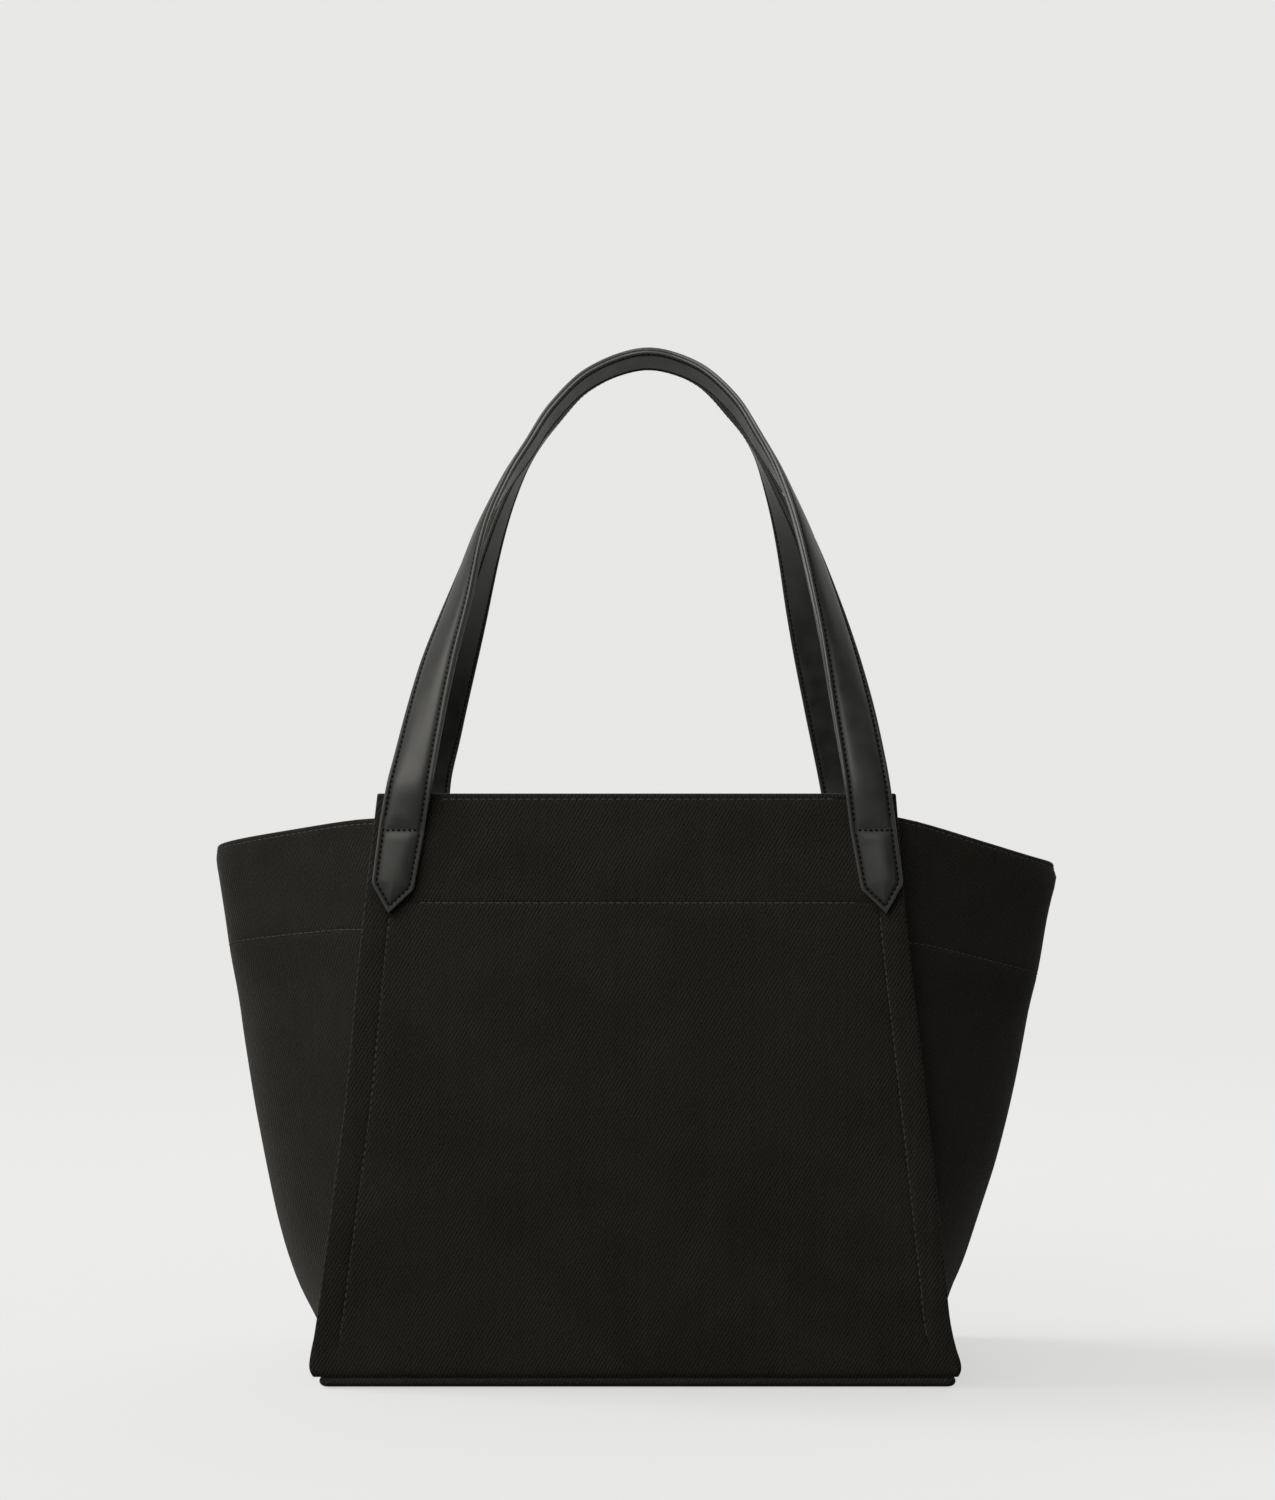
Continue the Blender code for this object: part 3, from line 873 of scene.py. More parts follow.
def cloth_piece(
    name: str,
    points: Grid,
    thickness: float,
    material: Material,
    turned: bool = False,
) -> Thing:
    """Makes a cloth of even thickness about a grid of points, with rounded rims.

    Args:
        name: The piece's name.
        points: Points of its middle, lowest row first.
        thickness: The cloth's thickness.
        material: Its material.
        turned: Whether the rows run left, seen from outside.

    Returns:
        The object.
    """
    mesh = PieceMesh()
    half = thickness / 2
    bulge = 0.6
    places = cloth_places(points, turned)
    normals = grid_normals(points)
    around = border(len(points), len(points[0]))

    def face(reach: float) -> Ring:
        """Adds the cloth's face at a distance outside its middle and gives the face's rim."""
        verts = mesh.patch([[p + n * reach for p, n in zip(*row)] for row in sheet], places)
        return [verts[r][c] for r, c, _, _ in around]

    sheet = list(zip(points, normals))
    rings = [face(half)]
    for turn in (math.pi / 4, math.pi / 2, 3 * math.pi / 4):
        ring = []
        for r, c, i, j in around:
            away = (points[r][c] - points[i][j]).normalized() * bulge
            lift = normals[r][c] * math.cos(turn) + away * math.sin(turn)
            ring.append(mesh.bm.verts.new(points[r][c] + lift * half))
        rings.append(ring)
    rings.append(face(-half))
    stretch = thickness / 3
    marks = []
    for k in range(len(rings)):
        line = []
        for r, c, i, j in around:
            away = Vector(places[r][c]) - Vector(places[i][j])
            line.append(Vector(places[r][c]) + away.normalized() * stretch * k)
        marks.append(line)
    for k in range(len(rings) - 1):
        mesh.bridge(rings[k], rings[k + 1], marks[k], marks[k + 1])
    return mesh.finish(name, material)


# Share of a stitch's length, how far its middle is lifted and its girth, both by its radius.
STITCH_FORM = (
    (0.0, -1.3, 0.55),
    (0.1, -0.1, 0.85),
    (0.3, 0.45, 1.0),
    (0.7, 0.45, 1.0),
    (0.9, -0.1, 0.85),
    (1.0, -1.3, 0.55),
)


@dataclass(frozen=True)
class StitchRow:
    """One kind of stitching: its spacing and its thread."""

    pitch: float
    length: float
    radius: float
    sides: int = 6

    def sew(self, mesh: PieceMesh, path: list[Spot]) -> int:
        """Lays stitches along a path on a surface.

        Args:
            mesh: Where the stitches are added.
            path: Points on the surface with the surface's outward direction.

        Returns:
            How many stitches there are.
        """
        lengths = running_lengths([point for point, _ in path])
        count = int((lengths[-1] - self.length) / self.pitch) + 1
        spare = lengths[-1] - (count - 1) * self.pitch - self.length
        for k in range(count):
            start = spare / 2 + k * self.pitch
            rings, places = [], []
            _, _, along = self.spot(path, lengths, start + self.length / 2)
            for share, lift, girth in STITCH_FORM:
                at = start + share * self.length
                point, normal, _ = self.spot(path, lengths, at)
                across = along.cross(normal).normalized()
                centre = point + normal * lift * self.radius
                ring = []
                for s in range(self.sides):
                    turn = 2 * math.pi * s / self.sides
                    offset = across * math.cos(turn) + normal * math.sin(turn)
                    ring.append(centre + offset * self.radius * girth)
                rings.append(ring)
                places.append([(s / self.sides, at) for s in range(self.sides + 1)])
            mesh.tube(rings, places)
        return count

    def spot(
        self, path: list[Spot], lengths: list[float], at: float
    ) -> tuple[Vector, Vector, Vector]:
        """Reads a path at one length."""
        at = min(max(at, 0.0), lengths[-1])
        i = min(max(bisect_right(lengths, at) - 1, 0), len(lengths) - 2)
        share = (at - lengths[i]) / max(lengths[i + 1] - lengths[i], 1e-9)
        point = path[i][0].lerp(path[i + 1][0], share)
        normal = path[i][1].lerp(path[i + 1][1], share).normalized()
        return point, normal, (path[i + 1][0] - path[i][0]).normalized()


CLOTH_STITCH = StitchRow(pitch=0.0040, length=0.0034, radius=0.00032)
LEATHER_STITCH = StitchRow(pitch=0.0029, length=0.0018, radius=0.00056)


# The bag's shape


# How far each panel edge hangs outside the straight line, by height.
HANGS: dict[Side, Knots] = {
    Side.LEFT: (
        (0.0000, 0.0026), (0.0094, 0.0030), (0.0147, 0.0031), (0.0200, 0.0028),
        (0.0253, 0.0022), (0.0306, 0.0019), (0.0420, 0.0015), (0.1100, 0.0002),
        (0.1520, -0.0006), (0.2410, 0.0007), (0.3150, 0.0005),
    ),
    Side.RIGHT: (
        (0.0000, 0.0010), (0.0094, 0.0008), (0.0147, 0.0002), (0.0200, -0.0010),
        (0.0253, -0.0018), (0.0306, -0.0024), (0.0412, -0.0028), (0.0540, -0.0025),
        (0.1520, -0.0023), (0.2500, -0.0024), (0.2900, -0.0012), (0.3150, -0.0004),
    ),
}
# Outermost x of each wing, by height.
CREASES: dict[Side, Knots] = {
    Side.LEFT: (
        (0.0059, 0.1625), (0.0200, 0.1740), (0.0335, 0.1823), (0.0447, 0.1883),
        (0.0559, 0.1930), (0.0671, 0.1969), (0.0895, 0.2028), (0.1119, 0.2076),
        (0.1343, 0.2120), (0.1567, 0.2159), (0.1791, 0.2195), (0.2015, 0.2228),
        (0.2239, 0.2267), (0.2463, 0.2301), (0.2687, 0.2337), (0.2799, 0.2355),
        (0.3020, 0.2360),
    ),
    Side.RIGHT: (
        (0.0059, 0.1600), (0.0200, 0.1655), (0.0447, 0.1749), (0.0559, 0.1804),
        (0.0671, 0.1850), (0.0895, 0.1928), (0.1119, 0.2001), (0.1343, 0.2058),
        (0.1567, 0.2111), (0.1791, 0.2155), (0.2015, 0.2197), (0.2239, 0.2247),
        (0.2463, 0.2287), (0.2575, 0.2312), (0.2687, 0.2341), (0.2743, 0.2341),
        (0.3020, 0.2350),
    ),
}
# Height of each wing's top edge, by how far its cloth has come towards the tip.
RIMS: dict[Side, Knots] = {
    Side.LEFT: (
        (0.0, 0.3024), (0.15, 0.3019), (0.25, 0.3009), (0.5, 0.2967), (0.75, 0.2923),
        (0.92, 0.2888), (1.0, 0.2866),
    ),
    Side.RIGHT: (
        (0.0, 0.3050), (0.15, 0.3020), (0.25, 0.2990), (0.5, 0.2902), (0.75, 0.2823),
        (0.92, 0.2784), (1.0, 0.2766),
    ),
}
# Places of a cloth's rows about a row of stitches, and of its columns inside the flange's fold.
STITCH_ROWS = (-0.0016, -0.0009, -0.0004, 0.0, 0.0004, 0.0009, 0.0016)
FLANGE_COLUMNS = (
    0.0200, 0.0180, 0.0163, 0.0152, 0.0145, 0.0141, 0.0138, 0.0135, 0.0131, 0.0125, 0.0115, 0.0100,
    0.0085, 0.0070, 0.0056, 0.0043, 0.0033, 0.0025,
)


@dataclass(frozen=True)
class BagShape:
    """Sizes and curves that the cloth pieces share."""

    depth: float = 0.165
    height: float = 0.315
    top_width: float = 0.275
    base_width: float = 0.345
    flange: float = 0.0138
    hem: float = 0.0094
    lap: float = 0.006
    cloth: float = 0.0014
    gap: float = 0.0003
    stiffener: float = 0.0010
    facing_cloth: float = 0.0012
    lining_cloth: float = 0.0006
    base_seam: float = 0.0056
    base_length: float = 0.3395
    facing_depth: float = 0.058
    hem_row: float = 0.003
    roll: float = 0.0008
    corner_height: float = 0.007
    corner_cut: float = 0.0022
    soft_foot: float = 0.040
    soft_tip: float = 0.012
    lining_slack: float = 0.0007
    swell: float = 1.22
    seam_height: float = 0.297
    facing_drops: tuple[tuple[float, float], ...] = ((0.0600, 0.0554), (0.0680, 0.0612))

    @property
    def foot(self) -> float:
        """Height of the bottom edge of the panels and wings."""
        return self.base_seam + self.gap

    @property
    def lap_y(self) -> float:
        """Depth at which the wings' cloth lies behind the panels."""
        return self.depth / 2 - self.cloth - self.gap - self.cloth / 2

    def half_width(self, side: Side, height: float) -> float:
        """Half width of the panels on one side, which hangs a little off the straight line."""
        straight = lerp(self.base_width, self.top_width, height / self.height) / 2
        corner = min(1.0, max(0.0, height - self.foot) / self.corner_height)
        cut = self.corner_cut * (1 - math.sin(math.pi / 2 * corner)) ** 1.3
        return straight + spline(HANGS[side], height) - cut

    def stitch_x(self, side: Side, height: float) -> float:
        """Where the flange's stitching runs and the wing leaves the panel."""
        low = max(height, self.foot + self.corner_height)
        return self.half_width(side, low) + (low - height) * 0.11 - self.flange

    def crease(self, side: Side, height: float) -> float:
        """Outermost x of a wing at one height, at its crease."""
        return spline(CREASES[side], height)

    def rim(self, side: Side, y: float) -> float:
        """Height of a wing's top edge at one depth, falling from the panel to the tip."""
        return spline(RIMS[side], self.outward(y))

    def outward(self, y: float) -> float:
        """How far towards its tip the wing's cloth has come at one depth, from 0 to 1."""
        return 1 - min(1.0, abs(y) / self.lap_y) ** self.swell

    def facing_drop(self, side: Side, y: float) -> float:
        """How far below the rim the facing's stitch row runs on a wing."""
        return lerp(*self.facing_drops[side is Side.RIGHT], self.outward(y))

    def rolled(self, top: float, tail: float) -> list[tuple[float, float]]:
        """Rows of a cloth's edge that is rolled in over the layers behind it.

        Args:
            top: Height of the cloth's middle at the top of the roll.
            tail: How far the cloth goes down behind it.

        Returns:
            The height of each row and how far in it lies.
        """
        rows = []
        for turn in steps(0, math.pi, 6)[1:]:
            drop, inward = self.roll * (1 - math.sin(turn)), self.roll * (1 - math.cos(turn))
            rows.append((top - drop, inward))
        return rows + [(top - self.roll - tail, 2 * self.roll)]


SHAPE = BagShape()


def sewn_heights(start: float, facing: float, hem: float, clear: float) -> list[float]:
    """Heights of a cloth's rows, close together at two rows of stitches.

    Args:
        start: The lowest height.
        facing: Height of the facing's row of stitches.
        hem: Height of the hem's row.
        clear: How far from the facing's row the even spacing ends.

    Returns:
        The heights, lowest first.
    """
    low, high = ([row + near for near in STITCH_ROWS] for row in (facing, hem))
    return steps(start, facing - clear, 36) + low + steps(facing + clear, hem - 0.004, 9) + high


def declare(piece: Thing, node: str, body: Body | None = Body.BAG) -> None:
    """Hides the CAD node that a piece stands for and puts the piece on the body that it rides on.

    Args:
        piece: The piece.
        node: The CAD node's name.
        body: The body; None leaves the piece on no body.
    """
    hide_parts(node)
    if body is not None:
        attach(piece, body.value)


@dataclass(frozen=True)
class Fabric:
    """What a cloth piece is made of: its finish, its slot and its thickness."""

    material: Material
    slot: Slot
    thickness: float

    def piece(
        self,
        name: str,
        node: str,
        points: Grid,
        held: Held,
        turned: bool = False,
        cut: tuple[tuple[float, float], float] | None = None,
        **more: object,
    ) -> None:
        """Args:
            name: The piece's name.
            node: The CAD node that it stands for.
            points: Points of its middle, lowest row first.
            held: How it is held; not used.
            turned: Whether the rows run left, seen from outside.
            cut: Size and area that it is cut to, where its rows don't give them; not used.
        """
        made = cloth_piece(name, points, self.thickness, self.material, turned)
        declare(made, node)


def dress_node(name: str, material: Material) -> None:
    """Gives a CAD node that stays in the scene its finish."""
    slots = frame["nodes"][name].data.materials
    slots.clear()
    slots.append(material)


def sewn(mesh: PieceMesh, name: str, thread: Material, count: int) -> Thing:
    """Makes one object of a piece's stitches and reports their number."""
    LOG.info("%s: %d stitches", name, count)
    return mesh.finish(name, thread)


@dataclass
class PanelAssembly:
    """Front or rear panel: cloth with turned flanges, stiffener, handle band, facing and lining."""

    end: End
    finishes: Finishes
    shape: BagShape = SHAPE
    inner_edge: float = 0.022
    middle_columns: int = 44
    lip: float = 0.0009
    groove: float = 0.0006
    facing_groove: float = 0.00045
    hem_groove: float = 0.00035
    sag: float = 0.0018
    wave: float = 0.0011
    ripple: float = 0.0004
    tuck: float = 0.0012
    band_depth: float = 0.044
    felt_foot: float = 0.0062
    lining_foot: float = 0.0070
    lining_slack: float = 0.0022
    facing_reach: float = 0.1165
    hem_reach: float = 0.1050
    flange_rows: tuple[float, float] = (0.0265, 0.2500)
    cut: tuple[tuple[float, float], float] = ((0.364, 0.314), 0.103)

    def sway(self, x: float, z: float) -> float:
        """How far the panel stands out from its flat plane: a soft belly and slow waves."""
        share = clamp((z - self.shape.foot) / (self.shape.height - self.shape.foot))
        across = max(0.0, 1 - (x / 0.155) ** 2)
        belly = self.sag * math.sin(math.pi * share**0.8) * across
        seed = 3.1 * self.end.value
        waves = self.wave * waver(x, z, seed, 0.085) + self.ripple * waver(x, z, seed + 7, 0.035)
        return belly + waves * smooth(share / 0.12) * smooth((1 - share) / 0.2) * smooth(across * 3)

    def lip_share(self, z: float) -> float:
        """How much the flange puffs up: flat under the tabs and at the base seam."""
        return smooth((0.262 - z) / 0.014) * smooth((z - 0.016) / 0.020)

    def relief(self, distance: float, z: float) -> float:
        """Height of the flange's lip and of the sewn grooves above the panel."""
        shape = self.shape
        share = min(1.0, distance / shape.flange)
        puff = self.lip * math.sin(math.pi * min(1.0, share**0.7)) ** 0.8
        ditch = self.groove * dip(distance - shape.flange, 0.0009)
        rows = dip(z - (shape.height - shape.facing_depth), 0.0008) * self.facing_groove
        rows += dip(z - (shape.height - shape.hem_row), 0.0007) * self.hem_groove
        inside = smooth((distance - shape.flange) / 0.002)
        return (puff - ditch) * self.lip_share(z) - rows * max(inside, smooth((z - 0.30) / 0.005))

    def columns(self) -> list[tuple[Side, float, float, float]]:
        """Places of the cloth's columns from the left turned hem to the right one.

        Returns:
            For each column its side, its distance from the edge, its share of the middle where
            it is in the middle, and how deep it lies behind the front layer.
        """
        shape = self.shape
        fold = (shape.cloth + shape.gap) / 2
        centre = fold + shape.cloth / 2
        right = [(distance, 1.0, 0.0) for distance in FLANGE_COLUMNS]
        for i in range(9):
            turn = math.pi * i / 8
            right.append((centre - fold * math.sin(turn), 1.0, fold - fold * math.cos(turn)))
        right += [(distance, 1.0, 2 * fold) for distance in (0.0035, 0.0060, shape.hem)]
        middle = [(self.inner_edge, t, 0.0) for t in steps(-1, 1, self.middle_columns)]
        columns = [(Side.LEFT, d, -s, b) for d, s, b in reversed(right)]
        columns += [(Side.LEFT if t < 0 else Side.RIGHT, d, t, b) for d, t, b in middle]
        return columns + [(Side.RIGHT, d, s, b) for d, s, b in right]

    def heights(self) -> list[float]:
        """Heights of the cloth's rows, close together at its foot and at the rows of stitches."""
        shape = self.shape
        low = [shape.foot + rise for rise in (0.0, 0.0006, 0.0014, 0.0026, 0.0042, 0.0062, 0.009)]
        facing, hem = shape.height - shape.facing_depth, shape.height - shape.hem_row
        return low + sewn_heights(shape.foot + 0.014, facing, hem, 0.005)

    def cloth_rows(self) -> Grid:
        """Points in the middle of the cloth, with its top rolled in over the band."""
        shape, sign = self.shape, self.end.value
        rows = []
        levels = [(height, 0.0) for height in self.heights()]
        levels += shape.rolled(shape.height - shape.cloth / 2, 0.0018)
        for height, inward in levels:
            row = []
            tuck = self.tuck * max(0.0, 1 - (height - shape.foot) / 0.003) ** 2
            for side, distance, share, behind in self.columns():
                half = shape.half_width(side, height) - distance
                x = half * share if distance == self.inner_edge else side.value * half
                flat = behind + shape.cloth / 2 + tuck + inward
                out = self.sway(x, height) + (0 if behind else self.relief(distance, height))
                if 0 < behind:
                    out += self.relief(0.0025, height) * max(0.0, 1 - behind / 0.0017)
                row.append(Vector((x, sign * (shape.depth / 2 - flat + out), height)))
            rows.append(row)
        return rows

    def surface(self, x: float, z: float) -> Spot:
        """Point and outward direction on the outer face of the cloth."""
        side = Side.LEFT if x < 0 else Side.RIGHT
        shape, sign = self.shape, self.end.value

        def stand(px: float, pz: float) -> float:
            """Distance of the face from the bag's middle plane."""
            distance = shape.half_width(side, pz) - abs(px)
            return shape.depth / 2 + self.sway(px, pz) + self.relief(distance, pz)

        step = 0.0008
        slope_x = (stand(x + step, z) - stand(x - step, z)) / (2 * step)
        slope_z = (stand(x, z + step) - stand(x, z - step)) / (2 * step)
        normal = Vector((-slope_x, sign, -slope_z)).normalized()
        return Vector((x, sign * stand(x, z), z)), normal

    def layer(
        self,
        name: str,
        inset: float,
        span: tuple[float, float],
        fabric: Fabric,
        slack: float = 0.0,
    ) -> None:
        """Makes one layer inside the panel.

        Args:
            name: Ending of the piece's name and of the CAD node it stands for.
            inset: Depth of its outer face.
            span: Its lowest and highest edge.
            fabric: What it is made of.
            slack: How far a loose layer billows inwards.
        """
        shape, sign = self.shape, self.end.value
        rows = []
        for height in steps(*span, 34):
            row = []
            fade = smooth((height - span[0]) / 0.03) * smooth((span[1] - height) / 0.02)
            for share in steps(-1, 1, 44):
                side = Side.LEFT if share < 0 else Side.RIGHT
                x = share * (shape.stitch_x(side, height) - shape.lap - shape.gap)
                billow = 0.0
                if slack:
                    wave = waver(x * 1.6, height, 20 + sign, 0.045) + 0.6
                    billow = slack * max(0.0, wave) * fade * smooth((1 - abs(share)) * 6)
                flat = inset + fabric.thickness / 2 + billow - self.sway(x, height)
                row.append(Vector((x, sign * (shape.depth / 2 - flat), height)))
            rows.append(row)
        label = f"{self.end.label}_{name}"
        held = Held.HUNG if slack else Held.STRETCHED
        fabric.piece(f"{label}_piece", label, rows, held, self.end is End.REAR)

    def stitching(self) -> None:
        """Sews the hem row, the facing row between the tabs and both flange rows."""
        shape = self.shape
        mesh = PieceMesh()
        facing = shape.height - shape.facing_depth
        hem = shape.height - shape.hem_row
        rows = [
            [self.surface(x, facing) for x in steps(-self.facing_reach, self.facing_reach, 120)],
            [self.surface(x, hem) for x in steps(-self.hem_reach, self.hem_reach, 120)],
        ]
        for side in Side:
            line = []
            for z in steps(*self.flange_rows, 140):
                x = shape.half_width(side, z) - shape.flange
                line.append(self.surface(side.value * x, z))
            rows.append(line)
        count = sum(CLOTH_STITCH.sew(mesh, row) for row in rows)
        name = f"{self.end.label}_panel_stitching"
        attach(sewn(mesh, name, self.finishes.cloth_thread, count), Body.BAG.value)

    def build(self) -> None:
        """Builds every piece of the panel."""
        shape, finishes, label = self.shape, self.finishes, self.end.label
        twill = Fabric(finishes.twill, Slot.TWILL, shape.cloth)
        felt = Fabric(finishes.felt, Slot.FELT, shape.stiffener)
        webbing = Fabric(finishes.webbing, Slot.WEBBING, shape.stiffener)
        facing = Fabric(finishes.twill, Slot.TWILL, shape.facing_cloth)
        lining = Fabric(finishes.lining, Slot.LINING, shape.lining_cloth)
        twill.piece(
            f"{label}_panel_cloth",
            f"{label}_panel",
            self.cloth_rows(),
            Held.STRETCHED,
            self.end is End.REAR,
            self.cut,
            rests_on=["base_panel_cloth"],
        )
        first = shape.cloth + shape.gap
        second = first + shape.stiffener + shape.gap
        band_foot = shape.seam_height - self.band_depth
        facing_foot = shape.height - shape.facing_depth - 0.004
        top = shape.height - 0.0032
        self.layer("stiffener", first, (self.felt_foot, band_foot - 0.0004), felt)
        self.layer("handle_band", first, (band_foot, top), webbing)
        self.layer("facing", second, (facing_foot, top), facing)
        span = (self.lining_foot, facing_foot - 0.0003)
        self.layer("lining", second + 0.0002, span, lining, self.lining_slack)
        self.stitching()
        LOG.info("%s panel: cloth, stiffener, band, facing, lining", label)


@dataclass
class WingAssembly:
    """One wing: creased cloth from panel to panel, with its facing and lining."""

    side: Side
    finishes: Finishes
    shape: BagShape = SHAPE
    ledge: float = 0.0019
    ledge_drop: float = 0.014
    wave: float = 0.0022
    ripple: float = 0.0007
    nip_left: float = 0.0012
    nip_right: float = 0.0036
    lining_slack: float = 0.0030
    row_reach: float = 0.0775
    sunk: float = 0.0003
    cut: tuple[tuple[float, float], float] = ((0.290, 0.305), 0.077)

    def bulge(self, y: float, z: float) -> float:
        """Slow waves and soft folds of the wing's cloth, still at its seams and foot."""
        shape = self.shape
        fade = smooth((1 - abs(y) / shape.lap_y) * 3) * smooth((z - shape.foot) / 0.05)
        fade *= smooth(abs(y) / 0.022)
        seed = 11.0 * self.side.value
        waves = self.wave * waver(y, z, seed, 0.075) + self.ripple * waver(y, z, seed + 5, 0.03)
        under = z - (shape.rim(self.side, y) - shape.facing_drop(self.side, y) - self.ledge_drop)
        waves += self.ledge * math.tanh(under / 0.011) * dip(under, 0.045)
        return waves * fade

    def across_x(self, y: float, z: float) -> float:
        """Distance of the cloth's middle from the bag's middle."""
        shape = self.shape
        share = (z - shape.foot) / (shape.height - shape.foot)
        soft = lerp(shape.soft_foot, shape.soft_tip, share)
        crease = shape.crease(self.side, z) - shape.cloth / 2
        fall = crease - shape.stitch_x(self.side, z)
        flat = (math.hypot(y, soft) - soft) / (math.hypot(shape.lap_y, soft) - soft)
        tip_drop = shape.rim(self.side, 0.0) - z
        nip = (self.nip_right if self.side is Side.RIGHT else self.nip_left) * dip(y, 0.007)
        nip *= smooth((0.006 - tip_drop) / 0.006)
        return crease - fall * flat**shape.swell + self.bulge(y, z) - nip

    def point(self, y: float, z: float, inset: float) -> Vector:
        """Point at a distance inside the cloth's middle, measured square to the cloth."""
        step = 0.001
        slope_y = (self.across_x(y + step, z) - self.across_x(y - step, z)) / (2 * step)
        slope_z = (self.across_x(y, z + step) - self.across_x(y, z - step)) / (2 * step)
        x = self.across_x(y, z) - inset * math.hypot(1, slope_y, slope_z)
        return Vector((self.side.value * x, y, z))

    def depths(self, count: int = 26) -> list[float]:
        """Depths of the columns from front to rear, closest together at the crease."""
        shares = steps(-1, 1, count * 2)
        return [self.shape.lap_y * math.copysign(abs(share) ** 1.5, share) for share in shares]

    def levels(self, y: float) -> list[tuple[float, float]]:
        """Rows of the cloth at one depth.

        Args:
            y: The depth.

        Returns:
            Each row's height and how far a seam draws it in, lowest first.
        """
        rim = self.shape.rim(self.side, y)
        facing = rim - self.shape.facing_drop(self.side, y)
        hem = rim - self.shape.hem_row
        rows = []
        for z in sewn_heights(self.shape.foot + 0.0004, facing, hem, 0.004):
            rows.append((z, 0.00045 * dip(z - facing, 0.0008) + 0.0003 * dip(z - hem, 0.0007)))
        return rows

    def cloth_rows(self) -> Grid:
        """Points in the middle of the cloth, with its rim rolled in and its edges lapped."""
        shape = self.shape
        columns = []
        for y in self.depths():
            top = shape.rim(self.side, y) - shape.cloth / 2
            levels = self.levels(y) + shape.rolled(top, 0.0016)
            columns.append([self.point(y, z, inset) for z, inset in levels])
        lap = Vector((self.side.value * shape.lap, 0, 0))
        rows = []
        for row in zip(*columns):
            before = [row[0] - lap, row[0] - lap / 2]
            rows.append(before + list(row) + [row[-1] - lap / 2, row[-1] - lap])
        return rows

    def inner_rows(
        self, inset: float, low: Curve, high: Curve, count: int, slack: float = 0.0
    ) -> Grid:
        """Points of a layer inside the wing.

        Args:
            inset: Distance of the layer's middle inside the cloth's middle.
            low: Height of its lower edge for a depth.
            high: Height of its upper edge for a depth.
            count: How many rows of quads it has.
            slack: How far it billows inwards.

        Returns:
            Its rows of points.
        """
        shape = self.shape
        rows = []
        for i in range(count + 1):
            row = []
            for y in self.depths():
                depth = y * (shape.lap_y - 0.004) / shape.lap_y
                z = lerp(low(depth), high(depth), i / count)
                fade = smooth(i / count * 6) * smooth((1 - i / count) * 8)
                fade *= smooth((1 - abs(y) / shape.lap_y) * 5)
                wave = waver(depth, z * 1.4, 31.0 * self.side.value, 0.035) + 0.6
                row.append(self.point(depth, z, inset + slack * max(0.0, wave) * fade))
            rows.append(row)
        return rows

    def surface(self, y: float, z: float) -> Spot:
        """Point and outward direction on the outer face of the cloth."""
        shape = self.shape
        step = 0.001
        here = self.point(y, z, -shape.cloth / 2)
        along = self.point(y + step, z, -shape.cloth / 2) - here
        up = self.point(y, z + step, -shape.cloth / 2) - here
        normal = along.cross(up).normalized()
        return here, normal * (1 if normal.x * self.side.value > 0 else -1)

    def stitching(self) -> None:
        """Sews the hem row and the facing row round the wing."""
        shape = self.shape
        mesh = PieceMesh()
        count = 0
        for drop in (lambda y: shape.hem_row, lambda y: shape.facing_drop(self.side, y)):
            path = []
            for y in steps(-self.row_reach, self.row_reach, 160):
                point, normal = self.surface(y, shape.rim(self.side, y) - drop(y))
                path.append((point - normal * self.sunk, normal))
            count += CLOTH_STITCH.sew(mesh, path)
        name = f"{self.side.label}_wing_stitching"
        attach(sewn(mesh, name, self.finishes.cloth_thread, count), Body.BAG.value)

    def build(self) -> None:
        """Builds every piece of the wing."""
        shape, finishes, label = self.shape, self.finishes, self.side.label
        turned = self.side is Side.LEFT
        twill = Fabric(finishes.twill, Slot.TWILL, shape.cloth)
        facing = Fabric(finishes.twill, Slot.TWILL, shape.facing_cloth)
        lining = Fabric(finishes.lining, Slot.LINING, shape.lining_cloth)

        def top(y: float) -> float:
            """Height of the facing's upper edge."""
            return shape.rim(self.side, y) - 0.003

        def seam(y: float) -> float:
            """Height of the facing's lower edge."""
            return shape.rim(self.side, y) - shape.facing_drop(self.side, y) - 0.004

        name, node = f"{label}_wing_cloth", f"{label}_gusset"
        twill.piece(name, node, self.cloth_rows(), Held.STRETCHED, turned, self.cut)
        inset = shape.cloth / 2 + shape.lining_slack
        rows = self.inner_rows(inset + facing.thickness / 2, seam, top, 14)
        facing.piece(f"{label}_facing_piece", f"{label}_facing", rows, Held.STRETCHED, turned)
        inset += 0.0003
        foot = shape.foot + 0.0012
        rows = self.inner_rows(
            inset + lining.thickness / 2,
            lambda y: foot,
            lambda y: seam(y) - 0.0004,
            30,
            self.lining_slack,
        )
        lining.piece(f"{label}_lining_piece", f"{label}_lining", rows, Held.HUNG, turned)
        self.stitching()
        LOG.info("%s wing: cloth, facing, lining", label)


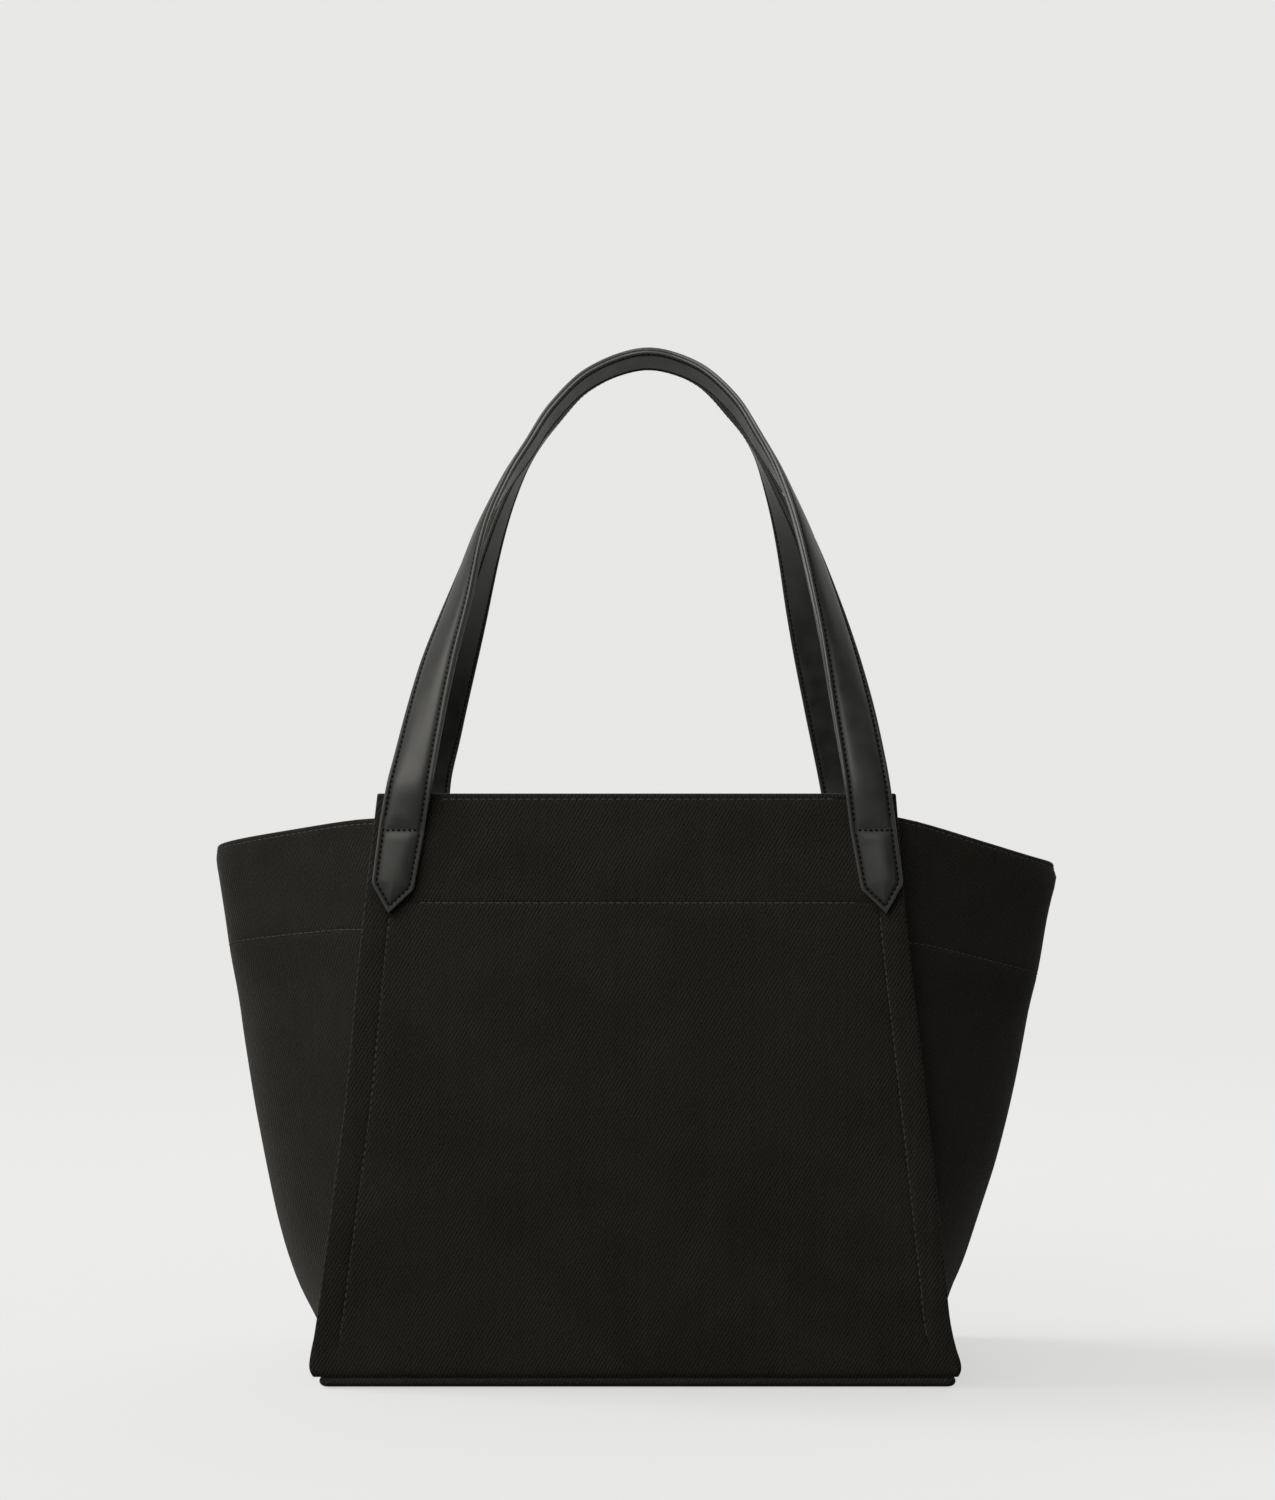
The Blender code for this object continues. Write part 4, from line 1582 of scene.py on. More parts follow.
@dataclass
class BaseAssembly:
    """The tray under the bag with its rolled rim, the board in it and the lining over the board."""

    finishes: Finishes
    shape: BagShape = SHAPE
    corner: float = 0.0065
    least_corner: float = 0.0006
    ring_points: int = 10
    longest_step: float = 0.012
    cut: tuple[float, float] = (0.352, 0.178)
    lift: float = 0.0012
    wave: float = 0.0008
    profile: Knots = (
        (0.0036, 0.0000), (0.0022, 0.0002), (0.0013, 0.0007), (0.0007, 0.0015),
        (0.0004, 0.0024), (0.0005, 0.0034), (0.0010, 0.0042), (0.0017, 0.0049),
        (0.0025, 0.0053), (0.0032, 0.0054), (0.0037, 0.0049), (0.0040, 0.0038),
        (0.0042, 0.0024),
    )

    def ring(self, inset: float, z: float) -> list[Vector]:
        """Rounded rectangle under the bag."""
        shape = self.shape
        half = Vector((shape.base_length / 2 - inset, shape.depth / 2 - inset))
        corner = max(self.least_corner, self.corner - inset)
        points = []
        for quarter, (sx, sy) in enumerate(((1, 1), (-1, 1), (-1, -1), (1, -1))):
            centre = Vector((sx * (half.x - corner), sy * (half.y - corner)))
            for i in range(self.ring_points + 1):
                turn = math.pi / 2 * (quarter + i / self.ring_points)
                x, y = centre.x + corner * math.cos(turn), centre.y + corner * math.sin(turn)
                points.append(Vector((x, y, z)))
        dense = []
        for before, after in zip(points, points[1:] + points[:1]):
            parts = max(1, round((after - before).length / self.longest_step))
            dense += [before.lerp(after, i / parts) for i in range(parts)]
        return dense

    def tray(self) -> None:
        """Builds the tray, whose profile gives the inset and the height of each ring."""
        mesh = PieceMesh()
        rings = [self.ring(inset, z) for inset, z in self.profile]
        around = running_lengths(rings[0] + rings[0][:1])
        climbs = running_lengths([Vector(point) for point in self.profile])
        mesh.tube(rings, [[(length, climb) for length in around] for climb in climbs])
        tray = mesh.finish("base_panel_cloth", self.finishes.twill)
        declare(tray, "base_panel")

    def lining(self) -> None:
        """Builds the lining that lies on the board."""
        shape = self.shape
        thick = shape.lining_cloth
        half = shape.depth / 2 - shape.cloth - shape.stiffener - thick - 4 * shape.gap
        rows = []
        for y in steps(-half, half, 24):
            row = []
            for share in steps(-1, 1, 48):
                side = Side.LEFT if share < 0 else Side.RIGHT
                x = share * (shape.stitch_x(side, shape.foot) - shape.lap)
                lift = self.lift + self.wave * waver(x, y, 50.0, 0.05)
                lift *= smooth((1 - abs(share)) * 8) * smooth((1 - abs(y) / half) * 8)
                row.append(Vector((x, y, shape.foot + thick / 2 + lift)))
            rows.append(row)
        fabric = Fabric(self.finishes.lining, Slot.LINING, thick)
        board = ["base_board"]
        fabric.piece("base_lining_piece", "base_lining", rows, Held.LAID, rests_on=board)

    def build(self) -> None:
        """Builds the tray and the base lining and dresses the board."""
        self.tray()
        self.lining()
        dress_node("base_board", self.finishes.board)
        LOG.info("base: tray, board, lining")


# Leather


@dataclass(frozen=True)
class StrapSection:
    """Cross section shared by the straps and their tabs, by distance from the edge."""

    width: float = 0.0242
    leather: float = 0.00165
    gap: float = 0.0003
    crest: float = 0.00175
    groove_at: float = 0.0025
    groove: float = 0.00060
    pad_start: float = 0.0035
    arch: float = 2.7
    shoulder: float = 0.75
    edge_round: float = 0.0008
    groove_width: float = 0.00055
    hollow: float = 0.0011
    marks: tuple[float, ...] = (
        0.0, 0.0001, 0.00028, 0.00055, 0.0009, 0.0014, 0.0019, 0.0022, 0.0025, 0.0028, 0.0031,
        0.0036, 0.0042, 0.0048, 0.0054, 0.0060, 0.0067, 0.0076, 0.0090, 0.0105,
    )

    def top(self, distance: float, pad: float) -> float:
        """Height of the leather's outer face above its inner face.

        Args:
            distance: Distance from the leather's edge.
            pad: How full the padding is there, from 0 to 1.

        Returns:
            The height.
        """
        height = self.leather
        if distance < self.edge_round:
            across = 1 - distance / self.edge_round
            height -= self.edge_round * (1 - math.sqrt(max(0.0, 1 - across**2)))
        height -= self.groove * dip(distance - self.groove_at, self.groove_width)
        share = clamp((distance - self.pad_start) / (self.width / 2 - self.pad_start))
        return height + pad * self.crest * (1 - (1 - share) ** self.arch) ** self.shoulder

    def pocket(self, distance: float, pad: float) -> float:
        """Height of the hollow under the padding."""
        return pad * self.hollow * smooth((distance - 0.0062) / 0.0014)


SECTION = StrapSection()
TAB_SECTION = StrapSection(crest=0.0023, pad_start=0.0039, arch=2.5)

# Middle line of each strap as (x, rise above the cross seams), from the left tab to the right one.
LOOPS: dict[End, Knots] = {
    End.FRONT: (
        (-0.1246, 0.0), (-0.1182, 0.0346), (-0.1073, 0.0860), (-0.0969, 0.1215),
        (-0.0846, 0.1625), (-0.0716, 0.1895), (-0.0600, 0.2082), (-0.0472, 0.2290),
        (-0.0265, 0.2500), (0.0042, 0.2612), (0.0325, 0.2534), (0.0533, 0.2345),
        (0.0664, 0.2130), (0.0783, 0.1913), (0.0900, 0.1630), (0.1019, 0.1220),
        (0.1103, 0.0860), (0.1196, 0.0350), (0.1246, 0.0),
    ),
    End.REAR: (
        (-0.1246, 0.0), (-0.1222, 0.0300), (-0.1155, 0.0560), (-0.1090, 0.0800),
        (-0.0967, 0.1220), (-0.0838, 0.1650), (-0.0751, 0.1885), (-0.0641, 0.2100),
        (-0.0481, 0.2300), (-0.0265, 0.2510), (0.0042, 0.2622), (0.0325, 0.2544),
        (0.0533, 0.2350), (0.0665, 0.2180), (0.0756, 0.1990), (0.0877, 0.1660),
        (0.0979, 0.1230), (0.1035, 0.0990), (0.1088, 0.0770), (0.1190, 0.0320), (0.1246, 0.0),
    ),
}
# Twist of each leg of the straps in degrees, by the rise above the cross seam.
TURNS: dict[tuple[End, Side], Knots] = {
    (End.FRONT, Side.LEFT): (
        (0.0, 0), (0.016, 8), (0.035, 19), (0.060, 28), (0.0865, 37), (0.104, 44), (0.122, 52),
        (0.138, 61), (0.1565, 70.5), (0.181, 80), (0.200, 86), (0.225, 88), (0.262, 85),
    ),
    (End.FRONT, Side.RIGHT): (
        (0.0, 0), (0.016, 4), (0.035, 9), (0.060, 17), (0.0865, 31), (0.104, 40), (0.122, 48),
        (0.138, 55), (0.1565, 63), (0.181, 75), (0.202, 84), (0.225, 87), (0.262, 85),
    ),
    (End.REAR, Side.LEFT): (
        (0.0, 0), (0.016, 8), (0.035, 19), (0.060, 28), (0.0865, 37), (0.104, 43), (0.122, 50),
        (0.138, 57), (0.1565, 64), (0.181, 71), (0.200, 76), (0.225, 83), (0.262, 85),
    ),
    (End.REAR, Side.RIGHT): (
        (0.0, 0), (0.030, 4), (0.053, 8), (0.076, 15), (0.099, 24), (0.122, 34), (0.144, 44),
        (0.166, 55), (0.188, 70), (0.212, 83), (0.235, 87), (0.262, 85),
    ),
}


@dataclass
class HandleAssembly:
    """One shoulder strap: padded cover, lining leather and filler, twisted a quarter turn."""

    end: End
    finishes: Finishes
    shape: BagShape = SHAPE
    section: StrapSection = SECTION
    stations: int = 168
    seam_height: float = SHAPE.seam_height
    seam_x: float = 0.275 / 2 - 0.0037 - 0.0242 / 2 + 0.018 * math.tan(math.radians(9))
    tilt: float = math.radians(9)
    rise: float = 0.2592
    parting: float = 0.001
    flat: float = 0.0215
    ease: float = 0.1
    stand_off: float = 0.0005
    seam_clear: float = 0.0016
    seam_drop: float = 0.0016
    bend: tuple[float, float] = (0.0002, 0.0075)
    fine_steps: int = 1200
    least_pad: float = 0.06
    pad_wave: float = 0.04
    fill: float = 0.8

    @property
    def middle_y(self) -> float:
        """Distance of the strap's middle from the bag's middle at the tabs."""
        pair = self.section.leather + self.section.gap / 2
        return self.shape.depth / 2 + self.stand_off + pair

    @property
    def body(self) -> Body:
        """The frame's body of the strap's handle."""
        return Body.FRONT_HANDLE if self.end is End.FRONT else Body.REAR_HANDLE

    def loop(self) -> list[Vector]:
        """Middle line of the strap, up the left leg and down the right one."""
        knots = [Vector(knot) for knot in LOOPS[self.end]]
        lengths = running_lengths(knots)
        tables = [tuple(zip(lengths, (knot[axis] for knot in knots))) for axis in (0, 1)]
        marks = steps(0, lengths[-1], self.fine_steps)
        fine = [Vector((spline(tables[0], at), spline(tables[1], at))) for at in marks]
        along = running_lengths(fine)
        evenly, k = [], 0
        for at in steps(0, along[-1], self.stations):
            while k < len(along) - 2 and along[k + 1] < at:
                k += 1
            share = (at - along[k]) / (along[k + 1] - along[k])
            evenly.append(fine[k].lerp(fine[k + 1], share))
        return evenly

    def frames(self) -> list[tuple[Vector, Vector, Vector, float]]:
        """Frames along the strap, which leans in to the other strap and twists as it rises.

        Returns:
            Middle, across and outward directions at each station, and the length up to it.
        """
        sign, half = self.end.value, self.section.width / 2
        reach = self.middle_y - self.parting / 2 - half
        upright = self.rise - self.flat
        loop = self.loop()
        top = max(range(len(loop)), key=lambda i: loop[i].y)
        middles, turns, fronts = [], [], []
        for i, (x, rise) in enumerate(loop):
            climb = min(1.0, max(0.0, rise - self.flat) / upright)
            share = (1 + self.ease) * climb**2 / (climb + self.ease)
            rate = (1 + self.ease) * (climb**2 + 2 * self.ease * climb) / (climb + self.ease) ** 2
            side = Side.LEFT if i < top else Side.RIGHT
            turn = math.radians(spline(TURNS[(self.end, side)], rise))
            lift = half * math.sin(min(turn, 0.6)) * smooth((0.036 - rise) / 0.02)
            y = sign * (self.middle_y - reach * share + lift)
            middles.append(Vector((x, y, self.seam_height + rise)))
            turns.append(turn)
            lean = math.atan(reach * rate / upright)
            fronts.append(Vector((0, sign * math.cos(lean), math.sin(lean))))
        along = running_lengths(middles)
        frames = []
        last = len(middles) - 1
        for k, middle in enumerate(middles):
            tangent = (middles[min(k + 1, last)] - middles[max(k - 1, 0)]).normalized()
            front = (fronts[k] - tangent * fronts[k].dot(tangent)).normalized()
            inward = tangent.cross(front) * -sign
            across = inward * math.cos(turns[k]) + front * math.sin(turns[k])
            outward = front * math.cos(turns[k]) - inward * math.sin(turns[k])
            frames.append((middle, across, outward, along[k]))
        return frames

    def fullness(self, rise: float) -> float:
        """How full the padding is at a distance from the cross seam that holds it down."""
        return self.least_pad + (1 - self.least_pad) * smooth((rise - 0.0003) / 0.0042)

    def pad(self, along: float, across: float, total: float) -> float:
        """How full the padding is at a place on the strap."""
        near = min(along, total - along) - across * math.tan(self.tilt) + self.seam_drop
        return self.fullness(near) * (1 + self.pad_wave * waver(along, 0.0, 60.0, 0.02))

    def loft(
        self, name: str, profile: Callable[[Curve], Profile], material: Material
    ) -> Thing:
        """Makes a strap layer from its cross section.

        Args:
            name: The piece's name.
            profile: Gives the section for a function that gives the padding's fullness at a
                distance across.
            material: Its material.

        Returns:
            The object.
        """
        mesh = PieceMesh()
        frames = self.frames()
        total = frames[-1][3]
        rings, places = [], []
        for middle, across, outward, along in frames:
            section = profile(lambda w, at=along: self.pad(at, w, total))
            rings.append([middle + across * w + outward * n for w, n, _ in section])
            lengths = running_lengths(rings[-1] + rings[-1][:1])
            places.append([(length, along) for length in lengths])
        mesh.tube(rings, places, [distance for _, _, distance in profile(lambda w: 1.0)])
        return mesh.finish(name, material)

    def cover_profile(self, pad: Curve) -> Profile:
        """Section of the outer leather: rounded edges, sewn grooves and the padded middle."""
        section = self.section
        half, base, marks = section.width / 2, section.gap / 2, section.marks
        left = [(-half + d, base + section.top(d, pad(d - half)), d) for d in marks]
        middle = [(0.0, base + section.top(half, pad(0.0)), half)]
        right = [(half - d, base + section.top(d, pad(half - d)), d) for d in reversed(marks)]
        hollow = (0.0003, 0.0058, 0.0066, 0.0080)
        under = [(half - d, base + section.pocket(d, pad(0.0)), d) for d in hollow]
        return left + middle + right + under + [(-w, n, d) for w, n, d in reversed(under)]

    def lining_profile(self, _: Curve) -> Profile:
        """Section of the lining leather: flat inside, sewn grooves outside."""
        section = self.section
        half, base, rim = section.width / 2, section.gap / 2, 0.0003
        outer = [(-half + d, -base - section.top(d, 0.0), d) for d in section.marks]
        outer += [(0.0, -base - section.top(half, 0.0), half)]
        outer += [(-w, n, d) for w, n, d in reversed(outer[:-1])]
        return outer + [(half - rim, -base, rim), (0.0, -base, half), (-half + rim, -base, rim)]

    def filler_profile(self, pad: Curve) -> Profile:
        """Section of the filler strip that makes the middle stand up."""
        base, high = self.section.gap / 2 + 0.0001, 0.0008 * pad(0.0) + 0.0001
        half = 0.0042
        low = [(w, base, 1.0) for w in steps(-half, half, 6)]
        arch = [(w, math.sqrt(max(0.02, 1 - (w / 0.0044) ** 4))) for w in steps(half, -half, 6)]
        return low + [(w, base + high * share, 1.0) for w, share in arch]

    def stitching(self) -> Thing:
        """Sews both rows, with their thread showing on the cover and on the lining."""
        mesh = PieceMesh()
        section = self.section
        reach = section.width / 2 - section.groove_at
        top = section.gap / 2 + section.top(section.groove_at, 0.0)
        frames = self.frames()
        last = frames[-1][3] - self.seam_clear
        frames = [frame for frame in frames if self.seam_clear < frame[3] < last]
        count = 0
        for row in (-reach, reach):
            for face in (1, -1):
                path = []
                for middle, across, outward, _ in frames:
                    path.append((middle + across * row + outward * face * top, outward * face))
                count += LEATHER_STITCH.sew(mesh, path)
        name = f"{self.end.label}_strap_stitching"
        return sewn(mesh, name, self.finishes.leather_thread, count)

    def build(self) -> None:
        """Builds every piece of the strap, with their placing baked into their meshes."""
        label, leather, foam = self.end.label, self.finishes.leather, self.finishes.foam
        pieces = []
        for name, node, profile, material, slot in (
            ("cover", "leather", self.cover_profile, leather, Slot.LEATHER),
            ("lining_leather", "lining", self.lining_profile, leather, Slot.LEATHER),
            ("filler", "core", self.filler_profile, foam, Slot.FOAM),
        ):
            piece = self.loft(f"{label}_strap_{name}", profile, material)
            declare(piece, f"{label}_strap_{node}", None)
            pieces.append(piece)
        for piece in (*pieces, self.stitching()):
            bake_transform(piece)
        LOG.info("%s handle: cover, lining, filler, stitching", label)


@dataclass
class TabAssembly:
    """Pointed sewn-down end of a strap: cover, filler, backing and stitching."""

    handle: HandleAssembly
    side: Side
    finishes: Finishes
    section: StrapSection = TAB_SECTION
    length: float = 0.0317
    point: float = 0.0145
    corner_width: float = 0.0225
    rows_side: int = 16
    rows_point: int = 12
    inner: float = 0.01115
    lean_left: float = 0.4
    lean_right: float = 1.4
    plump: float = 0.022
    least_plump: float = 0.55
    seam_dent: float = 0.0004
    seam_reach: float = 0.0083
    seam_sunk: float = 0.00025
    fill: float = 0.8

    @property
    def place(self) -> Matrix:
        """Puts a flat tab piece on its panel, its outer face along its own z."""
        end, side, handle = self.handle.end.value, self.side.value, self.handle
        about = 0 if end == End.FRONT.value else math.pi
        turn = Euler((math.pi / 2, side * end * handle.tilt, about)).to_matrix().to_4x4()
        spot = Vector((side * handle.seam_x, end * handle.middle_y, handle.seam_height))
        return Matrix.Translation(spot) @ turn

    def contour(self, distance: float) -> list[Vector]:
        """Left half of the outline, from the cross seam to the tip."""
        half, corner = self.section.width / 2, self.corner_width / 2
        top_y, corner_y, tip_y = -0.00004, -self.length, -self.length - self.point
        slant = math.atan2(half - corner, top_y - corner_y)
        facing = math.atan2(corner, corner_y - tip_y)
        side_x = half - distance / math.cos(slant)
        tip = tip_y + distance / math.sin(facing)
        lean, rake = math.tan(slant), math.tan(facing)
        bend_y = (side_x + tip * rake - top_y * lean) / (rake - lean)
        bend_x = -(bend_y - tip) * rake
        start = Vector((-side_x, top_y, 0))
        turn = Vector((bend_x, bend_y, 0))
        last = Vector((0, tip, 0))
        line = [start.lerp(turn, t) for t in steps(0, 1, self.rows_side)]
        line += [turn.lerp(last, t) for t in steps(0, 1, self.rows_point)[1:]]
        soft = self.rows_side
        line[soft] = (line[soft - 1] + line[soft + 1] + line[soft] * 2) / 4
        return line

    @property
    def marks(self) -> list[float]:
        """Distances from the edge of the tab's rows of points."""
        return [d for d in self.section.marks if d < self.inner] + [self.inner]

    def half_sheet(self, mirror: int, height: Height) -> Grid:
        """Rows of points from the edge to the middle on one half of the tab."""
        rows = []
        for d in self.marks:
            row = []
            for p in self.contour(d):
                x = p.x if d < self.inner else 0.0
                place = Vector((mirror * min(x, 0.0), p.y, 0.0))
                place.z = height(d, place)
                row.append(place)
            rows.append(row)
        return rows

    def above_seam(self, x: float, y: float) -> float:
        """Rise of a place on the tab above the level cross seam."""
        lean = self.side.value * self.handle.end.value * math.tan(self.handle.tilt)
        return y - lean * x + self.handle.seam_drop

    def cover_height(self, distance: float, point: Vector) -> float:
        """Height of the tab's outer face, its padding held down by the cross seam."""
        rise = self.above_seam(point.x, point.y)
        lean = self.lean_left if self.side is Side.LEFT else self.lean_right
        wedge = max(0.05, 1 + lean * min(1.0, -rise / 0.008) * point.x / 0.0121)
        slow = smooth(abs(rise) / self.plump)
        pad = wedge * self.handle.fullness(abs(rise)) * lerp(self.least_plump, 1.0, slow)
        drop = self.seam_dent * dip(rise, 0.0008) * smooth((distance - 0.003) / 0.002)
        return self.section.gap / 2 + self.section.top(distance, pad) - drop

    def solid(
        self, name: str, height: Height, floor: float, material: Material
    ) -> Thing:
        """Makes a tab-shaped solid.

        Args:
            name: The piece's name.
            height: Height of its outer face at a distance from the edge and a place.
            floor: Height of its flat inner face.
            material: Its material.

        Returns:
            The object.
        """
        mesh = PieceMesh()
        for mirror in (1, -1):
            turned = [list(row) for row in zip(*self.half_sheet(mirror, height))]
            mesh.patch(turned, [[(p.x, p.y) for p in row] for row in turned], self.marks)
        bmesh.ops.remove_doubles(mesh.bm, verts=mesh.bm.verts, dist=0.00002)
        rim = [edge for edge in mesh.bm.edges if edge.is_boundary]
        made = bmesh.ops.extrude_edge_only(mesh.bm, edges=rim)["geom"]
        for vert in (item for item in made if isinstance(item, bmesh.types.BMVert)):
            vert.co.z = floor
        rim = [edge for edge in mesh.bm.edges if edge.is_boundary]
        bmesh.ops.holes_fill(mesh.bm, edges=rim, sides=0)
        bmesh.ops.transform(mesh.bm, matrix=self.place, verts=mesh.bm.verts)
        return mesh.finish(name, material)

    def stitching(self, label: str) -> Thing:
        """Sews round the tab inside its edge and across its top."""
        mesh = PieceMesh()
        section, place = self.section, self.place
        out = (place.to_3x3() @ Vector((0, 0, 1))).normalized()
        left = self.contour(section.groove_at)[1:]
        loop = left + [Vector((-p.x, p.y, 0)) for p in reversed(left[:-1])]
        level = section.gap / 2 + section.top(section.groove_at, 0.0)
        count = LEATHER_STITCH.sew(mesh, [(place @ Vector((p.x, p.y, level)), out) for p in loop])
        level = section.gap / 2 + section.leather - self.seam_sunk
        cross = []
        for x in steps(-self.seam_reach, self.seam_reach, 12):
            cross.append((place @ Vector((x, -self.above_seam(x, 0.0), level)), out))
        count += LEATHER_STITCH.sew(mesh, cross)
        return sewn(mesh, f"{label}_stitching", self.finishes.leather_thread, count)

    def build(self) -> None:
        """Builds every piece of the tab."""
        label = f"{self.handle.end.label}_{self.side.label}_tab"
        base, leather = self.section.gap / 2, self.finishes.leather

        def back(distance: float, _: Vector) -> float:
            """Height of the backing's outer face."""
            return -base - (0.0002 if distance < 0.0002 else 0.0)

        cover = self.solid(f"{label}_cover", self.cover_height, base, leather)
        declare(cover, label)
        floor = -base - self.section.leather
        backing = self.solid(f"{label}_backing_leather", back, floor, leather)
        declare(backing, f"{label}_backing")
        dress_node(f"{label}_filler", self.finishes.foam)
        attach(self.stitching(label), Body.BAG.value)
        LOG.info("%s: cover, backing, stitching", label)


# Surroundings


@dataclass
class Studio:
    """Pale seamless ground, soft light from the left and the camera of the photograph."""

    tone: Colour = (0.806, 0.804, 0.798)
    sky_low: float = 0.21
    sky_high: float = 1.85
    sky_focus: float = 6.0
    sky_behind: float = 0.8
    sky_gloss: float = 1.5
    sky_direction: tuple[float, float, float] = (-0.62, -0.72, 0.30)
    key_place: tuple[float, float, float] = (-0.38, -0.52, 0.86)
    key_aim: tuple[float, float, float] = (0.0, -0.05, 0.20)
    key_size: float = 0.80
    key_power: float = 5.1
    ground_direction: tuple[float, float, float] = (-1.0, 0.12, 0.80)
    ground_strength: float = 2.6
    ground_angle: float = math.radians(28)
    ground_share: float = 0.22
    ground_light: float = 1.0
    ground_near: float = 1.0
    ground_far: float = 3.0
    ground_bounce: float = 0.05
    ground_shine: float = 0.5
    camera_distance: float = 1.45
    camera_height: float = 0.276
    pixel_height: int = 1500
    focal_pixels: float = 2736.0
    horizon_row: float = 867.0
    sensor: float = 36.0
    ground_half: float = 60.0
    ground_drop: float = 0.0004

    def rays(self, kit: NodeKit, glossy: Value) -> Socket:
        """Share of the pale backdrop that a ray sees."""
        path = kit.add("ShaderNodeLightPath").outputs
        direct = kit.math("MAXIMUM", path["Is Camera Ray"], path["Is Transmission Ray"])
        return kit.math("MAXIMUM", direct, kit.math("MULTIPLY", path["Is Glossy Ray"], glossy))

    def sky(self) -> None:
        """Lights the bag from the upper front left, with the pale backdrop behind it."""
        world = bpy.data.worlds.new("Studio")
        bpy.context.scene.world = world
        world.use_nodes = True
        kit = NodeKit(world.node_tree)
        background = world.node_tree.nodes["Background"]
        way = kit.add("ShaderNodeTexCoord").outputs["Generated"]
        aim = Vector(self.sky_direction).normalized()
        facing = kit.add("ShaderNodeVectorMath", {0: way, 1: aim}, operation="DOT_PRODUCT")
        lobe = kit.math("POWER", kit.math("MAXIMUM", facing.outputs["Value"], 0.0), self.sky_focus)
        back = kit.span(kit.add("ShaderNodeSeparateXYZ", {0: way}).outputs[1], -0.1, 0.7, 0.0, 1.0)
        glow = kit.math("MULTIPLY_ADD", back, self.sky_behind, self.sky_low)
        glow = kit.math("MULTIPLY_ADD", lobe, self.sky_high, glow)
        glossy = kit.add("ShaderNodeLightPath").outputs["Is Glossy Ray"]
        dimmed = kit.math("MINIMUM", glow, self.sky_gloss)
        change = kit.math("SUBTRACT", dimmed, glow)
        glow = kit.math("MULTIPLY_ADD", change, glossy, glow)
        seen = self.rays(kit, back)
        colour = kit.mix(seen, opaque((1.0, 1.0, 1.0)), opaque(self.tone))
        strength = kit.math("MULTIPLY_ADD", glow, kit.math("SUBTRACT", 1.0, seen), seen)
        kit.fill(background, {0: colour, 1: strength})

    def lamp(
        self, light: bpy.types.Light, way: Vector, ground: Thing, lit: bool
    ) -> Thing:
        """Adds a lamp for the ground alone, or for everything but the ground.

        Args:
            light: The lamp's light.
            way: Where it shines from, seen from the bag.
            ground: The ground.
            lit: Whether it lights the ground.

        Returns:
            The lamp.
        """
        lamp = bpy.data.objects.new(light.name, light)
        lamp.rotation_mode = "QUATERNION"
        lamp.rotation_quaternion = way.to_track_quat("Z", "Y")
        bpy.context.scene.collection.objects.link(lamp)
        linked = bpy.data.collections.new(f"Ground and {light.name.lower()}")
        linked.objects.link(ground)
        linked.collection_objects[0].light_linking.link_state = "INCLUDE" if lit else "EXCLUDE"
        lamp.light_linking.receiver_collection = linked
        return lamp

    def lamps(self, ground: Thing) -> None:
        """Lights the bag with a soft box at its upper left, and the ground with its own sun."""
        light = bpy.data.lights.new("Soft box", "AREA")
        light.size = self.key_size
        light.energy = self.key_power
        way = Vector(self.key_place) - Vector(self.key_aim)
        self.lamp(light, way, ground, lit=False).location = self.key_place
        light = bpy.data.lights.new("Ground key", "SUN")
        light.energy = self.ground_strength
        light.angle = self.ground_angle
        self.lamp(light, Vector(self.ground_direction), ground, lit=True)

    def floor(self) -> Thing:
        """Lays the ground: pale to the camera, with a lit share that takes the bag's shadow."""
        mesh = bpy.data.meshes.new("Ground")
        bm = bmesh.new()
        bmesh.ops.create_grid(bm, x_segments=1, y_segments=1, size=self.ground_half)
        bm.to_mesh(mesh)
        bm.free()
        ground = bpy.data.objects.new("Ground", mesh)
        ground.location.z = -self.ground_drop
        bpy.context.scene.collection.objects.link(ground)
        mesh.materials.append(self.ground_material())
        return ground

    def ground_material(self) -> Material:
        """Builds the ground's finish: lit near the bag, the flat tone of the backdrop far away."""
        material = bpy.data.materials.new("Pale ground")
        material.use_nodes = True
        kit = NodeKit(material.node_tree)
        material.node_tree.nodes.remove(material.node_tree.nodes["Principled BSDF"])

